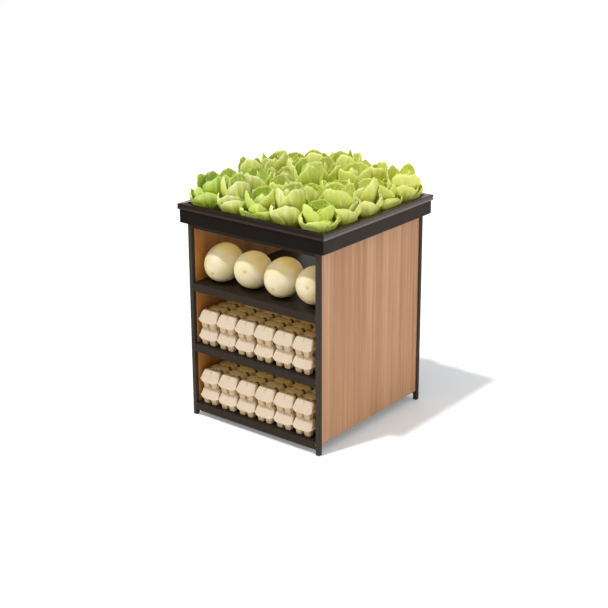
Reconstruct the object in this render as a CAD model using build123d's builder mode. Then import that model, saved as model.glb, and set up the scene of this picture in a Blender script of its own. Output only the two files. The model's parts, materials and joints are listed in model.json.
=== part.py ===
"""Produce display stand: a tube frame with laminate sides, steel shelves and a lift-off top tray.

The stand carries its goods. Millimetres: X runs along the front, the front faces minus Y and Z is up.
The origin is on the floor, in the middle of the stand.
"""

import os
from math import radians, sin, sqrt

from build123d import *

os.makedirs("parts", exist_ok=True)

# Frame
FRAME_WIDTH = 660.0
FRAME_DEPTH = 694.0
FRAME_HEIGHT = 827.0
POST_SIZE = 18.0
TUBE_WALL = 1.5
TUBE_CORNER = 1.6

# Feet
FOOT_HEIGHT = 8.0
FOOT_CHAMFER = 2.2
PLUG_LENGTH = 14.0
PLUG_CLEARANCE = 0.1

# Side panels
PANEL_RECESS = 6.0
PANEL_TOP_GAP = 1.0

# Shelves
SHEET = 1.5
BOTTOM_SHELF_TOP = 56.0
MELON_BAY = 231.0
LIP_HEIGHT = 32.5
LIP_RETURN = 10.0
SIDE_FLANGE = 14.0
RELIEF_WIDTH = 3.0
RELIEF_HEIGHT = 16.0
BEND_RADIUS = 1.2
BEND_LIMIT = 0.8
STIFFENER_WIDTH = 40.0
STIFFENER_HEIGHT = 13.0
STIFFENER_END_GAP = 20.0

# Fasteners
BOLT_DIAMETER = 5.0
BOLT_HEAD_DIAMETER = 8.5
BOLT_HEAD_HEIGHT = 3.2
BOLT_SOCKET = 3.4
BOLT_REACH = 4.0
SCREW_DIAMETER = 3.4
SCREW_HEAD_DIAMETER = 6.8
SCREW_HEAD_HEIGHT = 2.2
SCREW_BITE = 9.0
SCREW_SPACING = 330.0
HOLE_CLEARANCE = 0.1

# Top tray
TRAY_OVERHANG_SIDE = 30.0
TRAY_OVERHANG_FRONT = 13.0
TRAY_CORNER = 2.0
SKIRT_HEIGHT = 55.5
TRIM_HEIGHT = 22.5
TRIM_WIDTH = 24.0
TRIM_LIP = 6.0
TRIM_SLOT_DEPTH = 12.0
TRIM_BEAD = 4.5
TRIM_GROOVE = 1.6
TRIM_EDGE = 1.0
PAD_SIZE = 24.0
PAD_HEIGHT = 10.0
PAD_CHAMFER = 3.0
PAD_CLEARANCE = 1.0
RIVET_DIAMETER = 4.0
RIVET_HEAD_DIAMETER = 8.0
RIVET_HEAD_HEIGHT = 1.0

# Lettuce
HEADS_PER_SIDE = 5
HEAD_HEIGHT = 182.0
HEAD_GAP = 1.2
HEART_HEIGHT = 148.0
HEART_DIAMETER = 74.0
STEM_DIAMETER = 38.0
LEAF_THICKNESS = 3.0
LEAVES_PER_RING = 3
OUTER_LEAF_HEIGHT = 132.0
INNER_LEAF_INSET = 12.0

# Melons
MELON_COUNT = 4
MELON_GAP = 4.8
BLOSSOM_STRETCH = 12.4
STEM_STRETCH = 13.4
MELON_SETBACK = 102.8

# Egg cartons
CARTON_COLUMNS = 6
CARTON_LAYERS = 2
CARTONS_DEEP = 2
CARTON_LENGTH = 298.0
CARTON_HEIGHT = 71.5
CARTON_GAP = 0.8
CARTON_LEFT_GAP = 11.0
CARTON_RIGHT_GAP = 30.0
CARTON_SETBACK = 9.0
CUP_HEIGHT = 33.5
CUP_SPACE = 14.0
CUP_TAPER = 9.0
CUP_INSET = 7.2
CUP_ROWS = 6
CUP_END_MARGIN = 22.5
FLANGE_THICKNESS = 3.0
BAND_HEIGHT = 8.5
BAND_INSET = 16.0
LID_EDGE = 1.2
LID_SHOULDER = 6.2
LID_CROWN = 11.0
LID_END_SHOULDER = 20.0
LID_END_CROWN = 25.0
SHOULDER_DROP = 5.0
WAIST_DROP = 15.5
NOTCH_DEPTH = 12.0
NOTCH_WIDTH = 19.0
NOTCH_HEIGHT = 24.0

# Clearance under goods that stand on a surface or on each other
REST_GAP = 0.3

# Places that follow from the sizes
HALF_WIDTH = FRAME_WIDTH / 2
HALF_DEPTH = FRAME_DEPTH / 2
INNER_X = HALF_WIDTH - POST_SIZE
INNER_Y = HALF_DEPTH - POST_SIZE
POST_X = HALF_WIDTH - POST_SIZE / 2
POST_Y = HALF_DEPTH - POST_SIZE / 2
TUBE_BORE = POST_SIZE - 2 * TUBE_WALL
RAIL_Z = FRAME_HEIGHT - POST_SIZE / 2
UPPER_SHELF_TOP = FRAME_HEIGHT - POST_SIZE - MELON_BAY
SHELF_PITCH = (UPPER_SHELF_TOP - BOTTOM_SHELF_TOP) / 2
SHELF_TOPS = {
    "bottom": BOTTOM_SHELF_TOP,
    "middle": BOTTOM_SHELF_TOP + SHELF_PITCH,
    "upper": UPPER_SHELF_TOP,
}
FASTENER_DROP = (SHEET + SIDE_FLANGE) / 2
FASTENER_HEIGHTS = [top - FASTENER_DROP for top in SHELF_TOPS.values()]
PANEL_BOTTOM = BOTTOM_SHELF_TOP - SIDE_FLANGE
PANEL_TOP = FRAME_HEIGHT - PANEL_TOP_GAP
PANEL_THICKNESS = POST_SIZE - PANEL_RECESS
FLANGE_FACE = INNER_X - SHEET
SIDES = {"left": -1, "right": 1}
ENDS = {"front": -1, "back": 1}


def save(built, name):
    """Labels a finished piece and writes it under its own name."""
    built.part.label = name
    export_step(built.part, f"parts/{name}.step")


# Posts: square tube, drilled on the inner face for the shelf bolts
for side_name, side in SIDES.items():
    for end_name, end in ENDS.items():
        with BuildPart() as post:
            with BuildSketch(Plane.XY.offset(FOOT_HEIGHT)):
                with Locations((side * POST_X, end * POST_Y)):
                    RectangleRounded(POST_SIZE, POST_SIZE, TUBE_CORNER)
                    Rectangle(TUBE_BORE, TUBE_BORE, mode=Mode.SUBTRACT)
            extrude(amount=FRAME_HEIGHT - FOOT_HEIGHT)
            inner_face = Plane(origin=(side * INNER_X, 0, 0), x_dir=(0, 1, 0), z_dir=(side, 0, 0))
            with BuildSketch(inner_face):
                with Locations(*[(end * POST_Y, side * z) for z in FASTENER_HEIGHTS]):
                    Circle(BOLT_DIAMETER / 2 + HOLE_CLEARANCE)
            extrude(amount=TUBE_WALL, mode=Mode.SUBTRACT)
        save(post, f"post_{end_name}_{side_name}")

# Feet: a chamfered cap the size of the tube, with a plug that goes up into it
for side_name, side in SIDES.items():
    for end_name, end in ENDS.items():
        with BuildPart() as foot:
            with BuildSketch():
                with Locations((side * POST_X, end * POST_Y)):
                    Rectangle(POST_SIZE, POST_SIZE)
            extrude(amount=FOOT_HEIGHT)
            chamfer(foot.faces().sort_by(Axis.Z)[0].edges(), FOOT_CHAMFER)
            fillet(foot.edges().filter_by(Axis.Z), TUBE_CORNER)
            with BuildSketch(Plane.XY.offset(FOOT_HEIGHT)):
                with Locations((side * POST_X, end * POST_Y)):
                    Rectangle(TUBE_BORE - 2 * PLUG_CLEARANCE, TUBE_BORE - 2 * PLUG_CLEARANCE)
            extrude(amount=PLUG_LENGTH)
        save(foot, f"foot_{end_name}_{side_name}")

# Top rails: front and back between the posts, sides and middle bearer between those two
CROSS_START = POST_SIZE / 2 + INNER_X - POST_SIZE
RAILS = {
    "top_rail_front": ((-INNER_X, -POST_Y, RAIL_Z), (1, 0, 0), 2 * INNER_X),
    "top_rail_back": ((-INNER_X, POST_Y, RAIL_Z), (1, 0, 0), 2 * INNER_X),
    "top_rail_left": ((-CROSS_START, -INNER_Y, RAIL_Z), (0, 1, 0), 2 * INNER_Y),
    "top_rail_right": ((CROSS_START, -INNER_Y, RAIL_Z), (0, 1, 0), 2 * INNER_Y),
    "top_rail_middle": ((0, -INNER_Y, RAIL_Z), (0, 1, 0), 2 * INNER_Y),
}
for rail_name, (start, direction, length) in RAILS.items():
    with BuildPart() as rail:
        with BuildSketch(Plane(origin=start, z_dir=direction)):
            RectangleRounded(POST_SIZE, POST_SIZE, TUBE_CORNER)
            Rectangle(TUBE_BORE, TUBE_BORE, mode=Mode.SUBTRACT)
        extrude(amount=length)
    save(rail, rail_name)

# Side panels: between the posts, flush with their inner faces, with pilot holes for the screws
for side_name, side in SIDES.items():
    with BuildPart() as panel:
        inner_face = Plane(origin=(side * INNER_X, 0, 0), x_dir=(0, 1, 0), z_dir=(side, 0, 0))
        with BuildSketch(inner_face):
            with Locations((0, side * (PANEL_BOTTOM + PANEL_TOP) / 2)):
                Rectangle(2 * INNER_Y, PANEL_TOP - PANEL_BOTTOM)
        extrude(amount=PANEL_THICKNESS)
        with BuildSketch(inner_face):
            for z in FASTENER_HEIGHTS:
                with Locations((-SCREW_SPACING / 2, side * z), (SCREW_SPACING / 2, side * z)):
                    Circle(SCREW_DIAMETER / 2 + HOLE_CLEARANCE)
        extrude(amount=SCREW_BITE + HOLE_CLEARANCE, mode=Mode.SUBTRACT)
    save(panel, f"side_panel_{side_name}")

# Shelves: folded sheet with deep lips front and back, short side flanges and relief slits at the corners
for level, top in SHELF_TOPS.items():
    with BuildPart() as shelf:
        with BuildSketch(Plane.XY.offset(top - SHEET)):
            Rectangle(2 * INNER_X, FRAME_DEPTH)
        extrude(amount=SHEET)
        with BuildSketch(Plane.XY.offset(top - LIP_HEIGHT)):
            with GridLocations(1, FRAME_DEPTH - SHEET, 1, 2):
                Rectangle(2 * INNER_X, SHEET)
        extrude(amount=LIP_HEIGHT - SHEET)
        with BuildSketch(Plane.XY.offset(top - LIP_HEIGHT)):
            with GridLocations(1, FRAME_DEPTH - LIP_RETURN, 1, 2):
                Rectangle(2 * (INNER_X - RELIEF_WIDTH), LIP_RETURN)
        extrude(amount=SHEET)
        with BuildSketch(Plane.XY.offset(top - SIDE_FLANGE)):
            with GridLocations(2 * INNER_X - SHEET, 1, 2, 1):
                Rectangle(SHEET, FRAME_DEPTH - 2 * SHEET)
        extrude(amount=SIDE_FLANGE - SHEET)
        for end in ENDS.values():
            with BuildSketch(Plane.XZ.offset(-end * HALF_DEPTH)):
                with Locations((0, top - 2 * SHEET - RELIEF_HEIGHT / 2)):
                    with GridLocations(2 * INNER_X - RELIEF_WIDTH, 1, 2, 1):
                        Rectangle(RELIEF_WIDTH, RELIEF_HEIGHT)
            extrude(amount=end * SHEET, mode=Mode.SUBTRACT)
        with BuildSketch(Plane.YZ):
            with GridLocations(2 * POST_Y, 1, 2, 1):
                with Locations((0, top - FASTENER_DROP)):
                    Circle(BOLT_DIAMETER / 2 + HOLE_CLEARANCE)
            with GridLocations(SCREW_SPACING, 1, 2, 1):
                with Locations((0, top - FASTENER_DROP)):
                    Circle(SCREW_DIAMETER / 2 + HOLE_CLEARANCE)
        extrude(amount=INNER_X, both=True, mode=Mode.SUBTRACT)
        front_bends = shelf.edges().filter_by(Axis.X).group_by(Axis.Z)[-1]
        fillet(front_bends, min(BEND_RADIUS, BEND_LIMIT * SHEET))
    save(shelf, f"shelf_{level}")

    # Stiffener: a channel welded across the underside of the deck
    with BuildPart() as stiffener:
        half_length = INNER_X - STIFFENER_END_GAP
        with BuildSketch(Plane.YZ.offset(-half_length)):
            with Locations((0, top - SHEET - STIFFENER_HEIGHT / 2)):
                Rectangle(STIFFENER_WIDTH, STIFFENER_HEIGHT)
            with Locations((0, top - SHEET - (STIFFENER_HEIGHT - SHEET) / 2)):
                Rectangle(STIFFENER_WIDTH - 2 * SHEET, STIFFENER_HEIGHT - SHEET, mode=Mode.SUBTRACT)
        extrude(amount=2 * half_length)
    save(stiffener, f"shelf_stiffener_{level}")

# Shelf bolts: socket heads inside the side flange, shanks through the post wall
with BuildPart() as bolt:
    with BuildSketch(Plane.YZ.offset(-BOLT_HEAD_HEIGHT)):
        Circle(BOLT_HEAD_DIAMETER / 2)
        RegularPolygon(BOLT_SOCKET / 2, 6, mode=Mode.SUBTRACT)
    extrude(amount=BOLT_HEAD_HEIGHT / 2)
    with BuildSketch(Plane.YZ.offset(-BOLT_HEAD_HEIGHT / 2)):
        Circle(BOLT_HEAD_DIAMETER / 2)
    extrude(amount=BOLT_HEAD_HEIGHT / 2)
    with BuildSketch(Plane.YZ):
        Circle(BOLT_DIAMETER / 2)
    extrude(amount=SHEET + TUBE_WALL + BOLT_REACH)

with BuildPart() as shelf_bolts:
    for z in FASTENER_HEIGHTS:
        for end in ENDS.values():
            with Locations((FLANGE_FACE, end * POST_Y, z)):
                add(bolt.part)
            with Locations(Location((-FLANGE_FACE, end * POST_Y, z), (0, 0, 180))):
                add(bolt.part)
save(shelf_bolts, "shelf_bolts")

# Panel screws: heads inside the side flange, points in the panel
with BuildPart() as screw:
    with BuildSketch(Plane.YZ.offset(-SCREW_HEAD_HEIGHT)):
        Circle(SCREW_HEAD_DIAMETER / 2)
    extrude(amount=SCREW_HEAD_HEIGHT)
    with BuildSketch(Plane.YZ):
        Circle(SCREW_DIAMETER / 2)
    extrude(amount=SHEET + SCREW_BITE)

with BuildPart() as panel_screws:
    for z in FASTENER_HEIGHTS:
        for y in (-SCREW_SPACING / 2, SCREW_SPACING / 2):
            with Locations((FLANGE_FACE, y, z)):
                add(screw.part)
            with Locations(Location((-FLANGE_FACE, y, z), (0, 0, 180))):
                add(screw.part)
save(panel_screws, "panel_screws")

# Top tray: a folded pan on the rails, whose wall runs up into the edge trims
TRAY_X = HALF_WIDTH + TRAY_OVERHANG_SIDE
TRAY_Y = HALF_DEPTH + TRAY_OVERHANG_FRONT
TRIM_BOTTOM = FRAME_HEIGHT + SKIRT_HEIGHT
TRIM_TOP = TRIM_BOTTOM + TRIM_HEIGHT
TRAY_WALL_TOP = TRIM_BOTTOM + TRIM_SLOT_DEPTH
TRAY_FLOOR = FRAME_HEIGHT + SHEET
PAD_X = INNER_X - POST_SIZE - PAD_CLEARANCE - PAD_SIZE / 2
PAD_Y = INNER_Y - PAD_CLEARANCE - PAD_SIZE / 2

with BuildPart() as top_tray:
    with BuildSketch(Plane.XY.offset(FRAME_HEIGHT)):
        RectangleRounded(2 * TRAY_X, 2 * TRAY_Y, TRAY_CORNER)
    extrude(amount=TRAY_WALL_TOP - FRAME_HEIGHT)
    with BuildSketch(Plane.XY.offset(TRAY_FLOOR)):
        Rectangle(2 * (TRAY_X - SHEET), 2 * (TRAY_Y - SHEET))
    extrude(amount=TRAY_WALL_TOP - TRAY_FLOOR, mode=Mode.SUBTRACT)
    with BuildSketch(Plane.XY.offset(FRAME_HEIGHT)):
        with GridLocations(2 * PAD_X, 2 * PAD_Y, 2, 2):
            Circle(RIVET_DIAMETER / 2 + HOLE_CLEARANCE)
    extrude(amount=SHEET, mode=Mode.SUBTRACT)
save(top_tray, "top_tray")

# Edge trims: four mitred lengths of one moulding, slotted over the tray wall
TRIM_X = TRAY_X + TRIM_LIP
TRIM_Y = TRAY_Y + TRIM_LIP
TRIMS = {
    "edge_trim_front": (TRIM_Y, TRIM_X, 0),
    "edge_trim_right": (TRIM_X, TRIM_Y, 90),
    "edge_trim_back": (TRIM_Y, TRIM_X, 180),
    "edge_trim_left": (TRIM_X, TRIM_Y, 270),
}
GROOVE_Z = TRIM_TOP - TRIM_BEAD * 2 - TRIM_GROOVE
FLARE_Z = TRIM_BOTTOM + TRIM_BEAD
for trim_name, (out, along, turn) in TRIMS.items():
    with BuildPart() as moulding:
        with BuildSketch(Plane.YZ.offset(-along)):
            with BuildLine():
                Polyline(
                    (-out + TRIM_BEAD, TRIM_TOP),
                    (-out + TRIM_WIDTH - TRIM_EDGE, TRIM_TOP),
                    (-out + TRIM_WIDTH, TRIM_TOP - TRIM_EDGE),
                    (-out + TRIM_WIDTH, TRIM_BOTTOM),
                    (-out + TRIM_LIP + SHEET, TRIM_BOTTOM),
                    (-out + TRIM_LIP + SHEET, TRAY_WALL_TOP),
                    (-out + TRIM_LIP, TRAY_WALL_TOP),
                    (-out + TRIM_LIP, TRIM_BOTTOM),
                    (-out + TRIM_EDGE, TRIM_BOTTOM),
                    (-out, TRIM_BOTTOM + TRIM_EDGE),
                    (-out, FLARE_Z),
                    (-out + TRIM_GROOVE, GROOVE_Z),
                    (-out, TRIM_TOP - TRIM_BEAD),
                )
                RadiusArc((-out, TRIM_TOP - TRIM_BEAD), (-out + TRIM_BEAD, TRIM_TOP), TRIM_BEAD)
            make_face()
        extrude(amount=2 * along)
        split(bisect_by=Plane(origin=(-along, -out, 0), z_dir=(1, -1, 0)), keep=Keep.TOP)
        split(bisect_by=Plane(origin=(along, -out, 0), z_dir=(-1, -1, 0)), keep=Keep.TOP)
    with BuildPart() as edge_trim:
        with Locations(Location((0, 0, 0), (0, 0, turn))):
            add(moulding.part)
    save(edge_trim, trim_name)

# Locating pads under the tray, which drop inside the rails, and the rivets that hold them
with BuildPart() as tray_pads:
    with BuildSketch(Plane.XY.offset(FRAME_HEIGHT - PAD_HEIGHT)):
        with GridLocations(2 * PAD_X, 2 * PAD_Y, 2, 2):
            Rectangle(PAD_SIZE, PAD_SIZE)
    extrude(amount=PAD_HEIGHT)
    chamfer(tray_pads.edges().group_by(Axis.Z)[0], PAD_CHAMFER)
    with BuildSketch(Plane.XY.offset(FRAME_HEIGHT - PAD_HEIGHT)):
        with GridLocations(2 * PAD_X, 2 * PAD_Y, 2, 2):
            Circle(RIVET_DIAMETER / 2 + HOLE_CLEARANCE)
    extrude(amount=PAD_HEIGHT, mode=Mode.SUBTRACT)
save(tray_pads, "tray_pads")

with BuildPart() as tray_rivets:
    with BuildSketch(Plane.XY.offset(FRAME_HEIGHT - PAD_HEIGHT)):
        with GridLocations(2 * PAD_X, 2 * PAD_Y, 2, 2):
            Circle(RIVET_DIAMETER / 2)
    extrude(amount=PAD_HEIGHT + SHEET)
    with BuildSketch(Plane.XY.offset(TRAY_FLOOR)):
        with GridLocations(2 * PAD_X, 2 * PAD_Y, 2, 2):
            Circle(RIVET_HEAD_DIAMETER / 2)
    extrude(amount=RIVET_HEAD_HEIGHT)
save(tray_rivets, "tray_rivets")

# Lettuce: bulb-shaped heads, each a heart inside a ring of short outer leaves and one of taller leaves
HEAD_PITCH_X = 2 * (TRIM_X - TRIM_WIDTH) / HEADS_PER_SIDE
HEAD_PITCH_Y = 2 * (TRIM_Y - TRIM_WIDTH) / HEADS_PER_SIDE
HEAD_RADIUS = (min(HEAD_PITCH_X, HEAD_PITCH_Y) - HEAD_GAP) / 2
STEM_RADIUS = STEM_DIAMETER / 2
HEART_RADIUS = HEART_DIAMETER / 2
LEAF_TURN = 180 / LEAVES_PER_RING

# Outlines as shares of the radius and the height that each is drawn to
HEART_PROFILE = ((0.70, 0.24), (1.0, 0.52), (0.96, 0.70), (0.56, 0.93))
LEAF_PROFILE = ((0.26, 0.02), (0.38, 0.22), (0.77, 0.52), (0.99, 0.74), (0.90, 1.0))
LEAF_OUTLINE = ((0.24, 0.0), (0.50, 0.26), (0.76, 0.52), (0.80, 0.70), (0.60, 0.90), (0.26, 0.985))

# Each head turns and grows a little differently from its neighbours, and the rows rise towards the back
ROW_TURN = 47
COLUMN_TURN = 131
ROW_GROWTH = 0.02
GROWTH_SPREAD = 0.11
ROW_PHASE = -110
COLUMN_PHASE = 150


def leaf_shell(widest, tip_height):
    """A cupped shell round the head's axis, cut to a broad rounded outline."""
    outside = [(r * widest, h * tip_height) for r, h in LEAF_PROFILE]
    inside = [(r - LEAF_THICKNESS, h) for r, h in reversed(outside)]
    right_edge = [(r * widest, h * tip_height) for r, h in LEAF_OUTLINE]
    left_edge = [(-r, h) for r, h in reversed(right_edge)]
    with BuildPart() as leaf:
        with BuildSketch(Plane.XZ):
            with BuildLine():
                Polyline(*outside, *inside, close=True)
            make_face()
        revolve(axis=Axis.Z)
        with BuildSketch(Plane.XZ):
            with BuildLine():
                Polyline(*right_edge, *left_edge, close=True)
            make_face()
        extrude(amount=2 * HEAD_RADIUS, mode=Mode.INTERSECT)
    return leaf.part


def lettuce_head(growth):
    """One head on its stem, its heights grown by the given share."""
    rings = (
        (leaf_shell(HEAD_RADIUS, growth * OUTER_LEAF_HEIGHT), 0),
        (leaf_shell(HEAD_RADIUS - INNER_LEAF_INSET, growth * HEAD_HEIGHT), LEAF_TURN),
    )
    heart_height = growth * HEART_HEIGHT
    with BuildPart() as head:
        with BuildSketch(Plane.XZ):
            with BuildLine():
                Polyline(
                    (0, 0),
                    (STEM_RADIUS, 0),
                    *[(r * HEART_RADIUS, h * heart_height) for r, h in HEART_PROFILE],
                    (0, heart_height),
                    close=True,
                )
            make_face()
        revolve(axis=Axis.Z)
        for leaf, first_angle in rings:
            with PolarLocations(0, LEAVES_PER_RING, first_angle):
                add(leaf)
    return head.part


for row in range(HEADS_PER_SIDE):
    y = (row - (HEADS_PER_SIDE - 1) / 2) * HEAD_PITCH_Y
    heads = []
    for column in range(HEADS_PER_SIDE):
        x = (column - (HEADS_PER_SIDE - 1) / 2) * HEAD_PITCH_X
        turn = (ROW_TURN * row + COLUMN_TURN * column) % 360
        swell = sin(radians(ROW_PHASE * row + COLUMN_PHASE * column))
        growth = 1 + ROW_GROWTH * row + GROWTH_SPREAD * swell
        spot = Location((x, y, TRAY_FLOOR + REST_GAP), (0, 0, turn))
        heads.append((spot, lettuce_head(growth)))
    with BuildPart() as lettuce_row:
        for spot, head in heads:
            with Locations(spot):
                add(head)
    save(lettuce_row, f"lettuce_row_{row + 1}")

# Melons: egg-shaped, blossom end to the front, alternately nosing down and lying level
MELON_PITCH = 2 * INNER_X / MELON_COUNT
MELON_RADIUS = (MELON_PITCH - MELON_GAP) / 2
BLOSSOM_REACH = MELON_RADIUS + BLOSSOM_STRETCH
STEM_REACH = MELON_RADIUS + STEM_STRETCH
MELON_AXES = (Vector(0.138, -0.930, -0.305), Vector(0.299, -0.960, 0.185))
for number in range(MELON_COUNT):
    nose = MELON_AXES[number % 2].normalized()
    low_reach = BLOSSOM_REACH if nose.Z < 0 else STEM_REACH
    rest_height = sqrt(MELON_RADIUS**2 * (1 - nose.Z**2) + (low_reach * nose.Z) ** 2)
    centre = (
        (number - (MELON_COUNT - 1) / 2) * MELON_PITCH,
        -HALF_DEPTH + MELON_SETBACK,
        UPPER_SHELF_TOP + rest_height + REST_GAP,
    )
    with BuildPart() as melon:
        with BuildSketch(Plane(origin=centre, x_dir=nose, z_dir=nose.cross(Vector(0, 0, 1)))):
            with BuildLine():
                EllipticalCenterArc((0, 0), BLOSSOM_REACH, MELON_RADIUS, start_angle=0, arc_size=90)
                EllipticalCenterArc((0, 0), STEM_REACH, MELON_RADIUS, start_angle=90, arc_size=90)
                Line((-STEM_REACH, 0), (BLOSSOM_REACH, 0))
            make_face()
        revolve(axis=Axis(centre, nose))
    save(melon, f"melon_{number + 1}")

# Egg carton: cups under a closed upper body with sloping ends, a flange along each side and notches above it
CARTON_PITCH = (2 * INNER_X - CARTON_LEFT_GAP - CARTON_RIGHT_GAP) / CARTON_COLUMNS
CARTON_WIDTH = CARTON_PITCH - CARTON_GAP
CARTON_X = CARTON_WIDTH / 2
CARTON_Y = CARTON_LENGTH / 2
CUP_PITCH = CARTON_X - CUP_INSET
CUP_FOOT = CUP_PITCH - CUP_SPACE
CUP_ROW_PITCH = (CARTON_LENGTH - 2 * CUP_END_MARGIN) / (CUP_ROWS - 1)
BAND_Z = CUP_HEIGHT - BAND_HEIGHT
LID_BASE = CUP_HEIGHT + FLANGE_THICKNESS
LID_X = CARTON_X - LID_EDGE
SHOULDER_Z = CARTON_HEIGHT - SHOULDER_DROP
WAIST_Z = CARTON_HEIGHT - WAIST_DROP
RIGHT_SIDE = (
    (CARTON_X - BAND_INSET, BAND_Z),
    (CARTON_X, CUP_HEIGHT),
    (CARTON_X, LID_BASE),
    (LID_X, LID_BASE),
    (LID_X - LID_SHOULDER / 2, WAIST_Z),
    (LID_X - LID_SHOULDER, SHOULDER_Z),
    (LID_X - LID_CROWN, CARTON_HEIGHT),
)
BACK_END = (
    (CARTON_Y, BAND_Z),
    (CARTON_Y - LID_END_SHOULDER, SHOULDER_Z),
    (CARTON_Y - LID_END_CROWN, CARTON_HEIGHT),
)

with BuildPart() as carton:
    with BuildSketch(Plane.YZ.offset(-CARTON_X)):
        with BuildLine():
            Polyline(*BACK_END, *[(-y, z) for y, z in reversed(BACK_END)], close=True)
        make_face()
    extrude(amount=CARTON_WIDTH)
    with BuildSketch(Plane.XZ.offset(-CARTON_Y)):
        with BuildLine():
            Polyline(*RIGHT_SIDE, *[(-x, z) for x, z in reversed(RIGHT_SIDE)], close=True)
        make_face()
    extrude(amount=CARTON_LENGTH, mode=Mode.INTERSECT)
    with BuildSketch(Plane.XY.offset(CARTON_HEIGHT - NOTCH_HEIGHT)):
        with GridLocations(1, CUP_ROW_PITCH, 1, CUP_ROWS - 1):
            for side in SIDES.values():
                Polygon(
                    (side * (LID_X - LID_SHOULDER - NOTCH_DEPTH), 0),
                    (side * LID_X, -side * NOTCH_WIDTH / 2),
                    (side * LID_X, side * NOTCH_WIDTH / 2),
                    align=None,
                )
    extrude(amount=NOTCH_HEIGHT, mode=Mode.SUBTRACT)
    with BuildSketch():
        with GridLocations(CUP_PITCH, CUP_ROW_PITCH, 2, CUP_ROWS):
            Rectangle(CUP_FOOT, CUP_FOOT)
    extrude(amount=CUP_HEIGHT, taper=-CUP_TAPER)

FIRST_COLUMN_X = -INNER_X + CARTON_LEFT_GAP + CARTON_PITCH / 2
FIRST_CARTON_Y = -HALF_DEPTH + CARTON_SETBACK + CARTON_Y
for level in ("bottom", "middle"):
    for column in range(CARTON_COLUMNS):
        spots = []
        for layer in range(CARTON_LAYERS):
            for place in range(CARTONS_DEEP):
                spots.append(
                    (
                        FIRST_COLUMN_X + column * CARTON_PITCH,
                        FIRST_CARTON_Y + place * (CARTON_LENGTH + CARTON_GAP),
                        SHELF_TOPS[level] + layer * (CARTON_HEIGHT + REST_GAP),
                    )
                )
        with BuildPart() as carton_file:
            with Locations(*spots):
                add(carton.part)
        save(carton_file, f"egg_cartons_{level}_{column + 1}")
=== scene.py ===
"""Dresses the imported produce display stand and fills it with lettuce, melons and egg cartons.

Every length is in metres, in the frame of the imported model: X runs to the right along the front, the front
faces -Y and Z points up.
"""

import json
import logging
import math
from dataclasses import dataclass
from enum import Enum
from typing import Any, Sequence

import bmesh
import bpy
import numpy as np
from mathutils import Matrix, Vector

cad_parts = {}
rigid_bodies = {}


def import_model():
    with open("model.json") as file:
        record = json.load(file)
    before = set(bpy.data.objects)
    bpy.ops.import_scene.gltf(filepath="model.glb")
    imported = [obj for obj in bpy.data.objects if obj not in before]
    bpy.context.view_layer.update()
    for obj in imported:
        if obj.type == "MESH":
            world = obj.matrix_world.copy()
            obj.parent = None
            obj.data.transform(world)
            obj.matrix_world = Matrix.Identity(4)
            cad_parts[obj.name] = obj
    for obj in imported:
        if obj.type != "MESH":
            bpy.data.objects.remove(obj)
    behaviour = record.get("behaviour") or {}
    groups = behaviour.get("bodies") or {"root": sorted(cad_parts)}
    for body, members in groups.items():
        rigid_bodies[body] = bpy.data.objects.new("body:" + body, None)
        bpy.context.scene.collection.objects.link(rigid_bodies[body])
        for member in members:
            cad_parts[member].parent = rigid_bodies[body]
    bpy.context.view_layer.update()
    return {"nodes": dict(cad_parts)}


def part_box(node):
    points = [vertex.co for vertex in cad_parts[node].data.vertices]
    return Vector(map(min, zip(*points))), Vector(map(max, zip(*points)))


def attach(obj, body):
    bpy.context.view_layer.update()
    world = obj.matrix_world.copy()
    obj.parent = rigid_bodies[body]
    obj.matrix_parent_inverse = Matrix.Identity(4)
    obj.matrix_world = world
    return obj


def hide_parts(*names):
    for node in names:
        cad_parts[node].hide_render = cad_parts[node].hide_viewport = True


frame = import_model()

LOG = logging.getLogger("produce_stand")
Colour = tuple[float, float, float, float]
Triple = tuple[float, float, float]


class Slot(Enum):
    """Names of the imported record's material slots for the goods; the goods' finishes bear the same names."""

    LETTUCE_LEAF = "lettuce_leaf"
    MELON_RIND = "melon_rind"
    CARTON_PULP = "carton_pulp"


class Run(Enum):
    """The way a length of moulding runs, as the scale of the lines drawn along it."""

    ALONG_X = (6.0, 800.0, 800.0)
    ALONG_Y = (800.0, 6.0, 800.0)


class ShelfLevel(Enum):
    """The shelves that carry egg cartons, from the floor up."""

    BOTTOM = "bottom"
    MIDDLE = "middle"


def find_socket(sockets: Any, key: int | str) -> bpy.types.NodeSocket:
    """Picks a socket of a node.

    Args:
        sockets: the node's inputs or outputs.
        key: place, identifier or name of the socket.

    Returns:
        The socket.
    """
    if isinstance(key, int):
        return sockets[key]
    for socket in sockets:
        if socket.identifier == key:
            return socket
    return sockets[key]


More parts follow.
